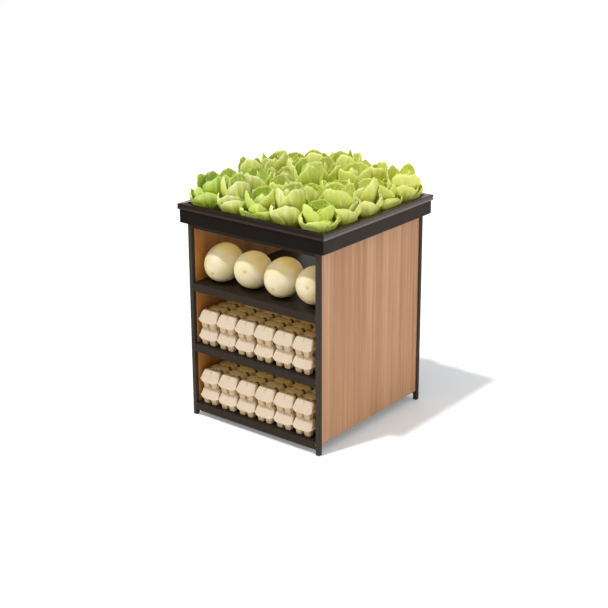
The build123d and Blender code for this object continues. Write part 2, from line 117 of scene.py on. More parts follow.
class Value:
    """An output socket of a graph; arithmetic on it adds Math nodes."""

    def __init__(self, graph: "Graph", socket: bpy.types.NodeSocket) -> None:
        """Keeps the graph and the socket."""
        self.graph = graph
        self.socket = socket

    def out(self, key: int | str) -> "Value":
        """Another output of the same node."""
        return Value(self.graph, find_socket(self.socket.node.outputs, key))

    def math(self, operation: str, *terms: Any) -> "Value":
        """Adds one Math node with the given terms."""
        return self.graph.node("ShaderNodeMath", {"operation": operation}, dict(enumerate(terms)))

    def __add__(self, other: Any) -> "Value":
        """Sum."""
        return self.math("ADD", self, other)

    def __radd__(self, other: Any) -> "Value":
        """Sum with the terms the other way round."""
        return self.math("ADD", other, self)

    def __sub__(self, other: Any) -> "Value":
        """Difference."""
        return self.math("SUBTRACT", self, other)

    def __rsub__(self, other: Any) -> "Value":
        """Difference with the terms the other way round."""
        return self.math("SUBTRACT", other, self)

    def __mul__(self, other: Any) -> "Value":
        """Product."""
        return self.math("MULTIPLY", self, other)

    def __rmul__(self, other: Any) -> "Value":
        """Product with the terms the other way round."""
        return self.math("MULTIPLY", other, self)

    def __truediv__(self, other: Any) -> "Value":
        """Quotient."""
        return self.math("DIVIDE", self, other)

    def __rtruediv__(self, other: Any) -> "Value":
        """Quotient with the terms the other way round."""
        return self.math("DIVIDE", other, self)

    def __gt__(self, other: Any) -> "Value":
        """One where this is the greater, nought elsewhere."""
        return self.math("GREATER_THAN", self, other)

    def __abs__(self) -> "Value":
        """Size without the sign."""
        return self.math("ABSOLUTE", self)

    def sine(self) -> "Value":
        """Sine of an angle in radians."""
        return self.math("SINE", self)

    def whole(self) -> "Value":
        """Rounded down to a whole number."""
        return self.math("FLOOR", self)

    def smaller(self, other: Any) -> "Value":
        """The smaller of two."""
        return self.math("MINIMUM", self, other)

    def larger(self, other: Any) -> "Value":
        """The larger of two."""
        return self.math("MAXIMUM", self, other)

    def step(self, low: float, high: float) -> "Value":
        """A smooth step from nought at low to one at high."""
        return self.graph.node(
            "ShaderNodeMapRange",
            {"interpolation_type": "SMOOTHSTEP"},
            {"Value": self, "From Min": low, "From Max": high},
        )


class Graph:
    """A node tree that grows by one call for each node."""

    def __init__(self, tree: bpy.types.NodeTree) -> None:
        """Keeps the tree."""
        self.tree = tree

    def node(
        self,
        kind: str,
        settings: dict[str, Any] | None = None,
        inputs: dict[int | str, Any] | None = None,
        output: int | str | None = 0,
    ) -> Value | None:
        """Adds one node.

        Args:
            kind: type name of the node.
            settings: properties set before anything is plugged in; "stops" fills a colour ramp.
            inputs: a number, colour or socket for each input that isn't left as it is.
            output: the output to hand back, or None for a node without one.

        Returns:
            The chosen output.
        """
        made = self.tree.nodes.new(kind)
        for key, setting in (settings or {}).items():
            if key == "stops":
                self._fill_ramp(made.color_ramp, setting)
            else:
                setattr(made, key, setting)
        for key, given in (inputs or {}).items():
            socket = find_socket(made.inputs, key)
            if isinstance(given, Value):
                self.tree.links.new(given.socket, socket)
            else:
                socket.default_value = given
        return None if output is None else Value(self, find_socket(made.outputs, output))

    def vector(self, x: Any, y: Any, z: Any) -> Value:
        """A vector from three numbers."""
        return self.node("ShaderNodeCombineXYZ", None, {"X": x, "Y": y, "Z": z})

    def axis(self, vector: Value, name: str) -> Value:
        """One axis of a vector."""
        return self.node("ShaderNodeSeparateXYZ", None, {"Vector": vector}, name)

    @staticmethod
    def _fill_ramp(ramp: bpy.types.ColorRamp, stops: Sequence[tuple[float, Colour]]) -> None:
        """Sets a colour ramp's stops.

        Args:
            ramp: the ramp, with the two stops it starts with.
            stops: place and colour of each stop, in order.
        """
        while len(ramp.elements) < len(stops):
            ramp.elements.new(0.5)
        for element, (place, colour) in zip(ramp.elements, stops):
            element.position = place
            element.color = colour


class Shader(Graph):
    """A material's node tree, with the nodes that its finishes share."""

    def __init__(self, name: str) -> None:
        """Starts an empty material.

        Args:
            name: name of the material.
        """
        self.material = bpy.data.materials.new(name)
        self.material.use_nodes = True
        self.material.node_tree.nodes.clear()
        super().__init__(self.material.node_tree)

    def place(self) -> Value:
        """Object coordinates."""
        return self.node("ShaderNodeTexCoord", output="Object")

    def attribute(self, name: str) -> Value:
        """A number stored on the mesh."""
        return self.node("ShaderNodeAttribute", {"attribute_name": name}, output="Fac")

    def uv(self, name: str) -> tuple[Value, Value]:
        """The place across and the place along a UV map."""
        across = self.axis(self.node("ShaderNodeUVMap", {"uv_map": name}), "X")
        return across, across.out("Y")

    def drawn(self, vector: Value, scale: Sequence[float], detail: float = 2.0) -> Value:
        """Noise drawn out by its own scale along each axis."""
        stretched = self.node("ShaderNodeMapping", None, {"Vector": vector, "Scale": tuple(scale)})
        return self.noise(stretched, 1.0, detail)

    def noise(self, vector: Value, scale: float, detail: float = 2.0) -> Value:
        """Cloudy noise between nought and one."""
        return self.node(
            "ShaderNodeTexNoise", None, {"Vector": vector, "Scale": scale, "Detail": detail}, "Fac"
        )

    def ramp(self, value: Value, stops: Sequence[tuple[float, Colour]]) -> Value:
        """A colour picked along a row of stops."""
        return self.node("ShaderNodeValToRGB", {"stops": stops}, {"Fac": value}, "Color")

    def mix(self, share: Any, first: Any, second: Any, blend: str = "MIX") -> Value:
        """Two colours mixed.

        Args:
            share: how much of the second colour shows.
            first: the colour below.
            second: the colour laid over it.
            blend: way of mixing.

        Returns:
            The mixed colour.
        """
        return self.node(
            "ShaderNodeMix",
            {"data_type": "RGBA", "blend_type": blend},
            {"Factor_Float": share, "A_Color": first, "B_Color": second},
            "Result_Color",
        )

    def bump(self, height: Value, strength: float, distance: float) -> Value:
        """A normal raised by a height between nought and one."""
        return self.node(
            "ShaderNodeBump", None, {"Height": height, "Strength": strength, "Distance": distance}, "Normal"
        )

    def surface(self, **sockets: Any) -> bpy.types.Material:
        """Closes the material with a Principled surface.

        Args:
            sockets: its inputs by name, with underscores for spaces.

        Returns:
            The material.
        """
        given = {key.replace("_", " "): value for key, value in sockets.items()}
        self.close(self.node("ShaderNodeBsdfPrincipled", None, given, "BSDF"))
        return self.material

    def close(self, surface: Value) -> None:
        """Plugs a surface into the material's output."""
        self.node("ShaderNodeOutputMaterial", None, {"Surface": surface}, None)


class Layout(Graph):
    """A Geometry Nodes tree with named inputs that sets out copies of a form."""

    def __init__(self, name: str, inputs: dict[str, str]) -> None:
        """Starts the tree.

        Args:
            name: name of the tree.
            inputs: kind of socket for each named input.
        """
        tree = bpy.data.node_groups.new(name, "GeometryNodeTree")
        tree.interface.new_socket("Geometry", in_out="OUTPUT", socket_type="NodeSocketGeometry")
        self.keys: dict[str, str] = {}
        for title, kind in inputs.items():
            socket = tree.interface.new_socket(title, in_out="INPUT", socket_type=kind)
            self.keys[title] = socket.identifier
        super().__init__(tree)
        self.given = self.node("NodeGroupInput")

    def chance(self, low: Any, high: Any, which: Value, seed: Any) -> Value:
        """A random number for each member of a set.

        Args:
            low: least number.
            high: greatest number.
            which: number of the member.
            seed: seed of the draw.

        Returns:
            The number drawn.
        """
        return self.node(
            "FunctionNodeRandomValue",
            {"data_type": "FLOAT"},
            {"Min_001": low, "Max_001": high, "ID": which, "Seed": seed},
            "Value_001",
        )

    def points(self, count: Value, place: Value) -> Value:
        """Points to set the copies on.

        Args:
            count: how many there are.
            place: where each one is, measured from the tree's "Place" input.

        Returns:
            The points.
        """
        line = self.node("GeometryNodeMeshLine", None, {"Count": count, "Offset": (0.0, 0.0, 0.0)})
        terms = {0: place, 1: self.given.out("Place")}
        moved = self.node("ShaderNodeVectorMath", {"operation": "ADD"}, terms)
        return self.node("GeometryNodeSetPosition", None, {"Geometry": line, "Position": moved})

    def store(self, copies: Value, name: str, number: Value) -> Value:
        """Keeps a number on each copy.

        Args:
            copies: the copies.
            name: name of the attribute.
            number: the number of each copy.

        Returns:
            The copies with their numbers.
        """
        return self.node(
            "GeometryNodeStoreNamedAttribute",
            {"data_type": "FLOAT", "domain": "INSTANCE"},
            {"Geometry": copies, "Name": name, "Value": number},
        )

    def close(self, copies: Value, finish: Value) -> None:
        """Makes the copies real, gives them their finish and plugs them into the tree's output.

        Args:
            copies: the copies.
            finish: their material.
        """
        real = self.node("GeometryNodeRealizeInstances", None, {"Geometry": copies})
        dressed = self.node("GeometryNodeSetMaterial", None, {"Geometry": real, "Material": finish})
        self.node("NodeGroupOutput", None, {"Geometry": dressed}, None)

    def piece(self, name: str, values: dict[str, Any]) -> bpy.types.Object:
        """Runs the tree once and keeps what it makes as a plain mesh.

        Args:
            name: name of the piece.
            values: a value for each named input.

        Returns:
            The piece.
        """
        made = add_object(name, bpy.data.meshes.new(name))
        modifier = made.modifiers.new("layout", "NODES")
        modifier.node_group = self.tree
        for title, value in values.items():
            modifier[self.keys[title]] = value
        evaluated = made.evaluated_get(bpy.context.evaluated_depsgraph_get())
        mesh = bpy.data.meshes.new_from_object(evaluated)
        made.modifiers.remove(modifier)
        made.data = mesh
        mesh.name = name
        return made


class Shell:
    """Gathers closed forms, ring by ring, into one mesh."""

    # Points nearer than the weld are merged, and edges shorter than the sliver are taken out.
    WELD = 1e-6
    SLIVER = 1e-7

    def __init__(self) -> None:
        """Starts empty."""
        self.points: list[np.ndarray] = []
        self.faces: list[list[int]] = []
        self.count = 0

    def loft(self, rings: Sequence[np.ndarray]) -> None:
        """Joins rings of points into a skin and closes both its ends.

        Args:
            rings: arrays of the same number of points, from one end to the other.
        """
        around = len(rings[0])
        start = self.count
        for ring in rings:
            self.points.append(np.asarray(ring, float))
        self.count += around * len(rings)
        for level in range(len(rings) - 1):
            low = start + level * around
            for place in range(around):
                after = (place + 1) % around
                self.faces.append([low + place, low + after, low + around + after, low + around + place])
        last = start + (len(rings) - 1) * around
        self.faces.append([start + place for place in reversed(range(around))])
        self.faces.append([last + place for place in range(around)])

    def mesh(self, name: str, sharp: float) -> bpy.types.Mesh:
        """Welds the gathered forms.

        Args:
            name: name of the mesh.
            sharp: angle in radians past which an edge stays sharp.

        Returns:
            The mesh, with its faces outwards and smooth.
        """
        mesh = bpy.data.meshes.new(name)
        mesh.from_pydata(np.concatenate(self.points).tolist(), [], self.faces)
        sculpt = bmesh.new()
        sculpt.from_mesh(mesh)
        bmesh.ops.remove_doubles(sculpt, verts=sculpt.verts, dist=self.WELD)
        bmesh.ops.dissolve_degenerate(sculpt, edges=sculpt.edges, dist=self.SLIVER)
        bmesh.ops.recalc_face_normals(sculpt, faces=sculpt.faces)
        sculpt.to_mesh(mesh)
        sculpt.free()
        mesh.shade_smooth()
        mesh.set_sharp_from_angle(angle=sharp)
        return mesh


def smooth(value: np.ndarray) -> np.ndarray:
    """A smooth step from nought to one."""
    held = np.clip(value, 0.0, 1.0)
    return held * held * (3.0 - 2.0 * held)


def bell(value: np.ndarray, width: float) -> np.ndarray:
    """A hump of one at nought that dies away over about two widths."""
    return np.exp(-((value / width) ** 2))


def bezier(share: np.ndarray, points: Sequence[float]) -> np.ndarray:
    """A number along a cubic curve.

    Args:
        share: places along the curve, from nought to one.
        points: the curve's four control numbers.

    Returns:
        The number at each place.
    """
    rest = 1.0 - share
    return (
        rest**3 * points[0]
        + 3.0 * rest**2 * share * points[1]
        + 3.0 * rest * share**2 * points[2]
        + share**3 * points[3]
    )


def opaque(red: float, green: float, blue: float) -> Colour:
    """A full colour from its linear red, green and blue."""
    return (red, green, blue, 1.0)


def shaded(colour: Colour, share: float) -> Colour:
    """A colour made darker or lighter by a share."""
    return (colour[0] * share, colour[1] * share, colour[2] * share, 1.0)


WHITE = opaque(1.0, 1.0, 1.0)


def add_object(name: str, data: bpy.types.ID) -> bpy.types.Object:
    """Adds an object to the scene.

    Args:
        name: name of the object.
        data: its mesh, lamp or camera.

    Returns:
        The object.
    """
    made = bpy.data.objects.new(name, data)
    bpy.context.scene.collection.objects.link(made)
    return made


def store_numbers(mesh: bpy.types.Mesh, name: str, numbers: np.ndarray) -> None:
    """Keeps a number for each point of a mesh.

    Args:
        mesh: the mesh.
        name: name of the attribute.
        numbers: one number for each point.
    """
    kept = mesh.attributes.new(name, "FLOAT", "POINT")
    kept.data.foreach_set("value", numbers.astype(np.float32))


def dress_nodes(names: Sequence[str], finish: bpy.types.Material) -> None:
    """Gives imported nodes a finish.

    Args:
        names: the nodes.
        finish: material for all their slots.
    """
    for name in names:
        for slot in frame["nodes"][name].material_slots:
            slot.material = finish
        LOG.info("dressed %s", name)


def stand_in(piece: bpy.types.Object, body: str, node: str) -> None:
    """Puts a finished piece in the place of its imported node.

    Args:
        piece: the piece.
        body: the body that it moves with.
        node: the node that it stands for.
    """
    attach(piece, body)
    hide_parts(node)
    LOG.info("%s stands for %s, with %d faces", piece.name, node, len(piece.data.polygons))


@dataclass(frozen=True)
class PowderCoat:
    """Matt powder coat on steel: a fine pebbled skin, faint clouds and a little dust.

    A coat with a front edge paints light or shade onto the faces that lie in front of it: lighter where its
    share is over one, darker where it is under one.
    """

    name: str
    colour: Colour
    roughness: float = 0.5
    gloss: float = 0.1
    front_edge: float | None = None
    front_light_share: float = 0.2
    front_blur: float = 0.0006
    cloud_scale: float = 11.0
    cloud_shares: tuple[float, float] = (0.88, 1.12)
    dust_scale: float = 60.0
    dust_share: float = 1.9
    dust_cover: float = 0.12
    pebble_scale: float = 750.0
    pebble_depth: float = 0.0001
    sheen: Colour = opaque(1.0, 0.86, 0.7)

    def material(self) -> bpy.types.Material:
        """Mixes the coat.

        Returns:
            The material.
        """
        shader = Shader(self.name)
        place = shader.place()
        cloud = shader.noise(place, self.cloud_scale, 3.0)
        pebble = shader.noise(place, self.pebble_scale)
        dust = shader.noise(place, self.dust_scale, 4.0).step(0.5, 0.75)
        dark, light = (shaded(self.colour, share) for share in self.cloud_shares)
        base = shader.mix(cloud.step(0.3, 0.7), dark, light)
        base = shader.mix(dust * self.dust_cover, base, shaded(self.colour, self.dust_share))
        # Painted light on the front faces where the share is over one, painted shade where it is under one.
        if self.front_edge is not None:
            painted_front = 1.0 - shader.axis(place, "Y").step(self.front_edge, self.front_edge + self.front_blur)
            base = shader.mix(painted_front, base, shaded(self.colour, self.front_light_share))
        return shader.surface(
            Base_Color=base,
            Roughness=self.roughness + cloud * 0.08 + dust * 0.06,
            Normal=shader.bump(pebble, 0.35, self.pebble_depth),
            Specular_IOR_Level=self.gloss,
            Specular_Tint=self.sheen,
        )


@dataclass(frozen=True)
class TrimMoulding:
    """Bronze anodised extrusion, finely drawn along its run, with painted light and shade: a tone at its foot,
    a darker tone of painted shade over the foot, and a tone on top.
    """

    name: str
    run: Run
    colour: Colour
    upper: Colour
    top: Colour
    metal: float = 1.0
    gloss: float = 0.5
    roughness: float = 0.26
    upper_edge: float = 0.8905
    upper_blur: float = 0.003
    top_edge: float = 0.3605
    top_blur: float = 0.0015
    cloud_scale: float = 14.0
    scuff_scale: float = 90.0
    line_depth: float = 0.0001

    def material(self) -> bpy.types.Material:
        """Mixes the moulding.

        Returns:
            The material.
        """
        shader = Shader(self.name)
        place = shader.place()
        line = shader.drawn(place, self.run.value)
        cloud = shader.noise(place, self.cloud_scale, 3.0)
        scuff = shader.noise(place, self.scuff_scale, 4.0).step(0.56, 0.72)
        height = shader.axis(place, "Z")
        reach = abs(height.out("X")).larger(abs(height.out("Y")))
        # Painted shade: the face over the foot is darker.
        above = height.step(self.upper_edge, self.upper_edge + self.upper_blur)
        outside = reach.step(self.top_edge, self.top_edge + self.top_blur)
        # The top and inner face take the top tone: a painted sunlit highlight on the far trims, painted shade
        # on the near ones.
        base = shader.mix(outside, self.top, shader.mix(above, self.colour, self.upper))
        base = shader.mix(cloud.step(0.3, 0.7) * 0.2, base, shaded(self.colour, 0.6))
        base = shader.mix(scuff * 0.1, base, shaded(self.colour, 1.6))
        return shader.surface(
            Base_Color=base,
            Roughness=self.roughness + line * 0.12 + scuff * 0.08,
            Metallic=self.metal,
            Normal=shader.bump(line, 0.2, self.line_depth),
            Specular_IOR_Level=self.gloss,
        )


@dataclass(frozen=True)
class WoodLaminate:
    """Straight-grained laminate: broad upright streaks, fibres and short pores, with painted warm bounce light
    making its inner face yellower.
    """

    name: str
    dark: Colour = opaque(0.34, 0.150, 0.060)
    middle: Colour = opaque(0.485, 0.244, 0.116)
    light: Colour = opaque(0.595, 0.345, 0.190)
    pore: Colour = opaque(0.26, 0.105, 0.042)
    # Painted warm bounce light, multiplied over the inner face.
    inside: Colour = opaque(1.05, 0.84, 0.32)
    inside_edge: float = 0.316
    inside_blur: float = 0.004
    broad_scale: Triple = (40.0, 14.0, 0.45)
    strip_scale: Triple = (40.0, 58.0, 0.8)
    fibre_scale: Triple = (60.0, 430.0, 8.0)
    pore_scale: Triple = (60.0, 1200.0, 24.0)
    roughness: float = 0.46
    gloss: float = 0.5
    grain_depth: float = 0.00015

    def material(self) -> bpy.types.Material:
        """Mixes the laminate.

        Returns:
            The material.
        """
        shader = Shader(self.name)
        place = shader.place()
        broad = shader.drawn(place, self.broad_scale, 3.0)
        strip = shader.drawn(place, self.strip_scale, 3.0)
        fibre = shader.drawn(place, self.fibre_scale, 3.0)
        dash = shader.drawn(place, self.pore_scale).step(0.6, 0.7)
        grain = broad * 0.46 + strip * 0.34 + fibre * 0.2
        base = shader.ramp(grain, ((0.36, self.dark), (0.5, self.middle), (0.63, self.light)))
        base = shader.mix(dash * 0.3, base, self.pore)
        # Painted warm bounce light: the inner face is multiplied by a yellower colour.
        from_middle = abs(shader.axis(place, "X"))
        inner = 1.0 - from_middle.step(self.inside_edge, self.inside_edge + self.inside_blur)
        base = shader.mix(inner, base, self.inside, "MULTIPLY")
        return shader.surface(
            Base_Color=base,
            Roughness=self.roughness + fibre * 0.14 + dash * 0.1,
            Normal=shader.bump(fibre * 0.6 - dash * 0.8 + 0.8, 0.25, self.grain_depth),
            Specular_IOR_Level=self.gloss,
        )


@dataclass(frozen=True)
class ZincSteel:
    """Zinc-plated fastener: bright flakes and dull patches."""

    name: str
    colour: Colour = opaque(0.42, 0.41, 0.39)
    flake_scale: float = 900.0
    flake_shares: tuple[float, float] = (0.75, 1.25)
    flake_depth: float = 0.00005
    dull_scale: float = 160.0
    roughness: float = 0.28

    def material(self) -> bpy.types.Material:
        """Mixes the plating.

        Returns:
            The material.
        """
        shader = Shader(self.name)
        place = shader.place()
        flake = shader.noise(place, self.flake_scale, 3.0)
        dull = shader.noise(place, self.dull_scale, 3.0).step(0.4, 0.7)
        dark, light = (shaded(self.colour, share) for share in self.flake_shares)
        return shader.surface(
            Base_Color=shader.mix(flake, dark, light),
            Roughness=self.roughness + dull * 0.25,
            Metallic=1.0,
            Normal=shader.bump(flake, 0.15, self.flake_depth),
        )


@dataclass(frozen=True)
class MouldedPlastic:
    """Moulded plastic or rubber with a spark-etched skin."""

    name: str
    colour: Colour
    roughness: float
    gloss: float = 0.35
    grain_scale: float = 1400.0
    grain_depth: float = 0.00008
    scuff_scale: float = 240.0
    scuff_share: float = 1.9

    def material(self) -> bpy.types.Material:
        """Mixes the moulding.

        Returns:
            The material.
        """
        shader = Shader(self.name)
        place = shader.place()
        grain = shader.noise(place, self.grain_scale, 3.0)
        scuff = shader.noise(place, self.scuff_scale, 4.0).step(0.55, 0.75)
        return shader.surface(
            Base_Color=shader.mix(scuff * 0.5, self.colour, shaded(self.colour, self.scuff_share)),
            Roughness=self.roughness + grain * 0.1 + scuff * 0.1,
            Normal=shader.bump(grain, 0.4, self.grain_depth),
            Specular_IOR_Level=self.gloss,
        )


@dataclass(frozen=True)
class LettuceLeaf:
    """Pale crisp leaf: olive at the base, partly painted shade, green streaks, veins fanning to a pale margin.

    Its inner faces are greener, as painted bounce and shone-through light. The mesh stores how green each leaf
    is as "tone", and a second number for painted light that brightens the heads to the right and back of the
    bed.
    """

    name: str
    base: Colour = opaque(0.25, 0.28, 0.0)
    flesh: Colour = opaque(0.53, 0.56, 0.0)
    tip: Colour = opaque(0.69, 0.72, 0.24)
    vein: Colour = opaque(0.88, 0.89, 0.58)
    green: Colour = opaque(0.29, 0.52, 0.004)
    margin: Colour = opaque(0.66, 0.71, 0.34)
    # Colour of the painted light that brightens the heads to the right and back.
    bright: Colour = opaque(0.95, 0.92, 0.22)
    fan_root: float = 0.1
    fan_growth: float = 1.1
    stripe_scale: tuple[float, float] = (9.0, 1.1)
    thread_scale: tuple[float, float] = (34.0, 2.4)
    blotch_scale: float = 26.0
    leaf_shift: float = 37.0
    vein_share: float = 0.42
    painted_light_share: float = 0.5
    roughness: float = 0.46
    gloss: float = 0.04
    vein_depth: float = 0.002
    glow: float = 0.3
    glow_radius: Triple = (1.0, 1.0, 0.15)
    glow_depth: float = 0.006

    def material(self) -> bpy.types.Material:
        """Mixes the leaf.

        Returns:
            The material.
        """
        shader = Shader(self.name)
        across, along = shader.uv("leaf")
        tone = shader.attribute("tone")
        fan = (across - 0.5) / (along * self.fan_growth + self.fan_root)
        leaf = tone * self.leaf_shift
        stripe_x, stripe_y = self.stripe_scale
        thread_x, thread_y = self.thread_scale
        stripe = shader.noise(shader.vector(fan * stripe_x, along * stripe_y, leaf), 1.0, 3.0)
        thread = shader.noise(shader.vector(fan * thread_x, along * thread_y, leaf), 1.0, 2.0)
        blotch = shader.noise(shader.place(), self.blotch_scale, 3.0)
        # Olive and darker towards the base: partly the leaf's own colour, partly painted shade low in the
        # head.
        base = shader.ramp(along, ((0.22, self.base), (0.62, self.flesh), (0.97, self.tip)))
        base = shader.mix(blotch.step(0.48, 0.72) * 0.55, base, self.green)
        # Painted light: the inner faces are mixed greener, standing in for light bounced about and shone
        # through the leaves.
        base = shader.mix(shader.attribute("inner") * (0.42 + tone * 0.3), base, self.green)
        streak = (1.0 - thread.step(0.36, 0.5)) * (1.0 - along.step(0.6, 1.0))
        base = shader.mix(streak * 0.55, base, shaded(self.green, 0.8))
        veins = (stripe.step(0.5, 0.7) + thread.step(0.52, 0.66)) * self.vein_share
        base = shader.mix(veins * along.step(0.4, 0.85), base, self.vein)
        rib = 1.0 - (abs(across - 0.5) * 2.0).step(0.02, 0.1)
        base = shader.mix(rib * (1.0 - along.step(0.2, 0.9)) * 0.5, base, self.vein)
        base = shader.mix(shader.attribute("margin") * 0.4, base, self.margin)
        base = shader.mix(tone.step(0.3, 0.95) * 0.6, base, shaded(self.green, 1.1))
        # Painted light: heads to the right and back of the bed are mixed brighter and yellower.
        base = shader.mix(shader.attribute("ripe") * self.painted_light_share, base, self.bright)
        return shader.surface(
            Base_Color=base,
            Roughness=self.roughness + blotch * 0.2,
            Normal=shader.bump(stripe * 0.6 + thread * 0.4 + rib * 0.4, 0.75, self.vein_depth),
            Specular_IOR_Level=self.gloss,
            Subsurface_Weight=self.glow,
            Subsurface_Radius=self.glow_radius,
            Subsurface_Scale=self.glow_depth,
        )


@dataclass(frozen=True)
class MelonRind:
    """Smooth pale rind: a yellower lower side, partly a ground spot and partly painted warm bounce light,
    faint meridian streaks, freckles and a tan scar at each end.
    """

    name: str
    pale: Colour = opaque(0.735, 0.665, 0.50)
    warm: Colour = opaque(0.71, 0.595, 0.31)
    ground: Colour = opaque(0.85, 0.64, 0.18)
    freckle: Colour = opaque(0.50, 0.38, 0.15)
    scar: Colour = opaque(0.50, 0.34, 0.12)
    cloud_scale: float = 16.0
    streak_scale: tuple[float, float] = (46.0, 3.0)
    freckle_scale: float = 420.0
    skin_scale: float = 900.0
    skin_depth: float = 0.0003
    roughness: float = 0.44
    gloss: float = 0.35
    glow: float = 0.25
    glow_radius: Triple = (1.0, 0.72, 0.22)
    glow_depth: float = 0.004

    def material(self) -> bpy.types.Material:
        """Mixes the rind.

        Returns:
            The material.
        """
        shader = Shader(self.name)
        place = shader.place()
        around, along = shader.uv("rind")
        streak_x, streak_y = self.streak_scale
        cloud = shader.noise(place, self.cloud_scale, 4.0)
        streak = shader.noise(shader.vector(around * streak_x, along * streak_y, 0.0), 1.0, 3.0)
        speck = shader.noise(place, self.freckle_scale).step(0.66, 0.74)
        skin = shader.noise(place, self.skin_scale)
        base = shader.mix(cloud.step(0.35, 0.68), self.pale, self.warm)
        # The lower side is mixed yellower: partly the ground spot, partly painted warm bounce light in the
        # shade.
        base = shader.mix(shader.attribute("ground") * 0.4, base, self.ground)
        base = shader.mix(streak.step(0.5, 0.8) * 0.25, base, self.warm)
        base = shader.mix(speck * 0.3, base, self.freckle)
        end = abs(along - 0.5) * 2.0
        base = shader.mix(end.step(0.86, 1.0) * 0.35, base, self.warm)
        base = shader.mix(end.step(0.90, 0.985) * 0.6, base, self.scar)
        return shader.surface(
            Base_Color=base,
            Roughness=self.roughness + cloud * 0.12,
            Normal=shader.bump(skin * 0.4 + cloud * 0.6, 0.2, self.skin_depth),
            Specular_IOR_Level=self.gloss,
            Subsurface_Weight=self.glow,
            Subsurface_Radius=self.glow_radius,
            Subsurface_Scale=self.glow_depth,
        )


@dataclass(frozen=True)
class PaperPulp:
    """Moulded paper pulp: felted and flecked with fibres, browner on the crown as painted warm shade, and dark
    in its hollows as painted shade.
    """

    name: str
    colour: Colour = opaque(0.575, 0.475, 0.37)
    # Colour of the painted warm shade on the crown, the sides and the cups.
    crown: Colour = opaque(0.74, 0.51, 0.22)
    fleck: Colour = opaque(0.26, 0.19, 0.12)
    felt_scale: float = 420.0
    lump_scale: float = 130.0
    cloud_scale: float = 22.0
    fibre_scale: Triple = (260.0, 900.0, 420.0)
    felt_depth: float = 0.0006
    hollow_shade_share: float = 0.92
    roughness: float = 0.9
    gloss: float = 0.12

    def material(self) -> bpy.types.Material:
        """Mixes the pulp.

        Returns:
            The material.
        """
        shader = Shader(self.name)
        place = shader.place()
        felt = shader.noise(place, self.felt_scale, 4.0)
        lump = shader.noise(place, self.lump_scale, 3.0)
        cloud = shader.noise(place, self.cloud_scale, 3.0)
        fibre = shader.drawn(place, self.fibre_scale).step(0.66, 0.74)
        # Painted warm shade: the crown, the sides and the cups are mixed browner.
        base = shader.mix(shader.attribute("crown"), self.colour, self.crown)
        base = shader.mix(cloud.step(0.3, 0.7) * 0.14, base, shaded(self.colour, 1.3))
        base = shader.mix(felt.step(0.35, 0.75) * 0.3, base, shaded(self.crown, 0.75))
        base = shader.mix(fibre * 0.35, base, self.fleck)
        # Painted shade in the notches, pits, lower sides and end creases.
        base = shader.mix(shader.attribute("hollow") * self.hollow_shade_share, base, shaded(self.fleck, 0.3))
        return shader.surface(
            Base_Color=base,
            Roughness=self.roughness + felt * 0.08,
            Normal=shader.bump(felt * 0.5 + lump * 0.5, 0.5, self.felt_depth),
            Specular_IOR_Level=self.gloss,
        )


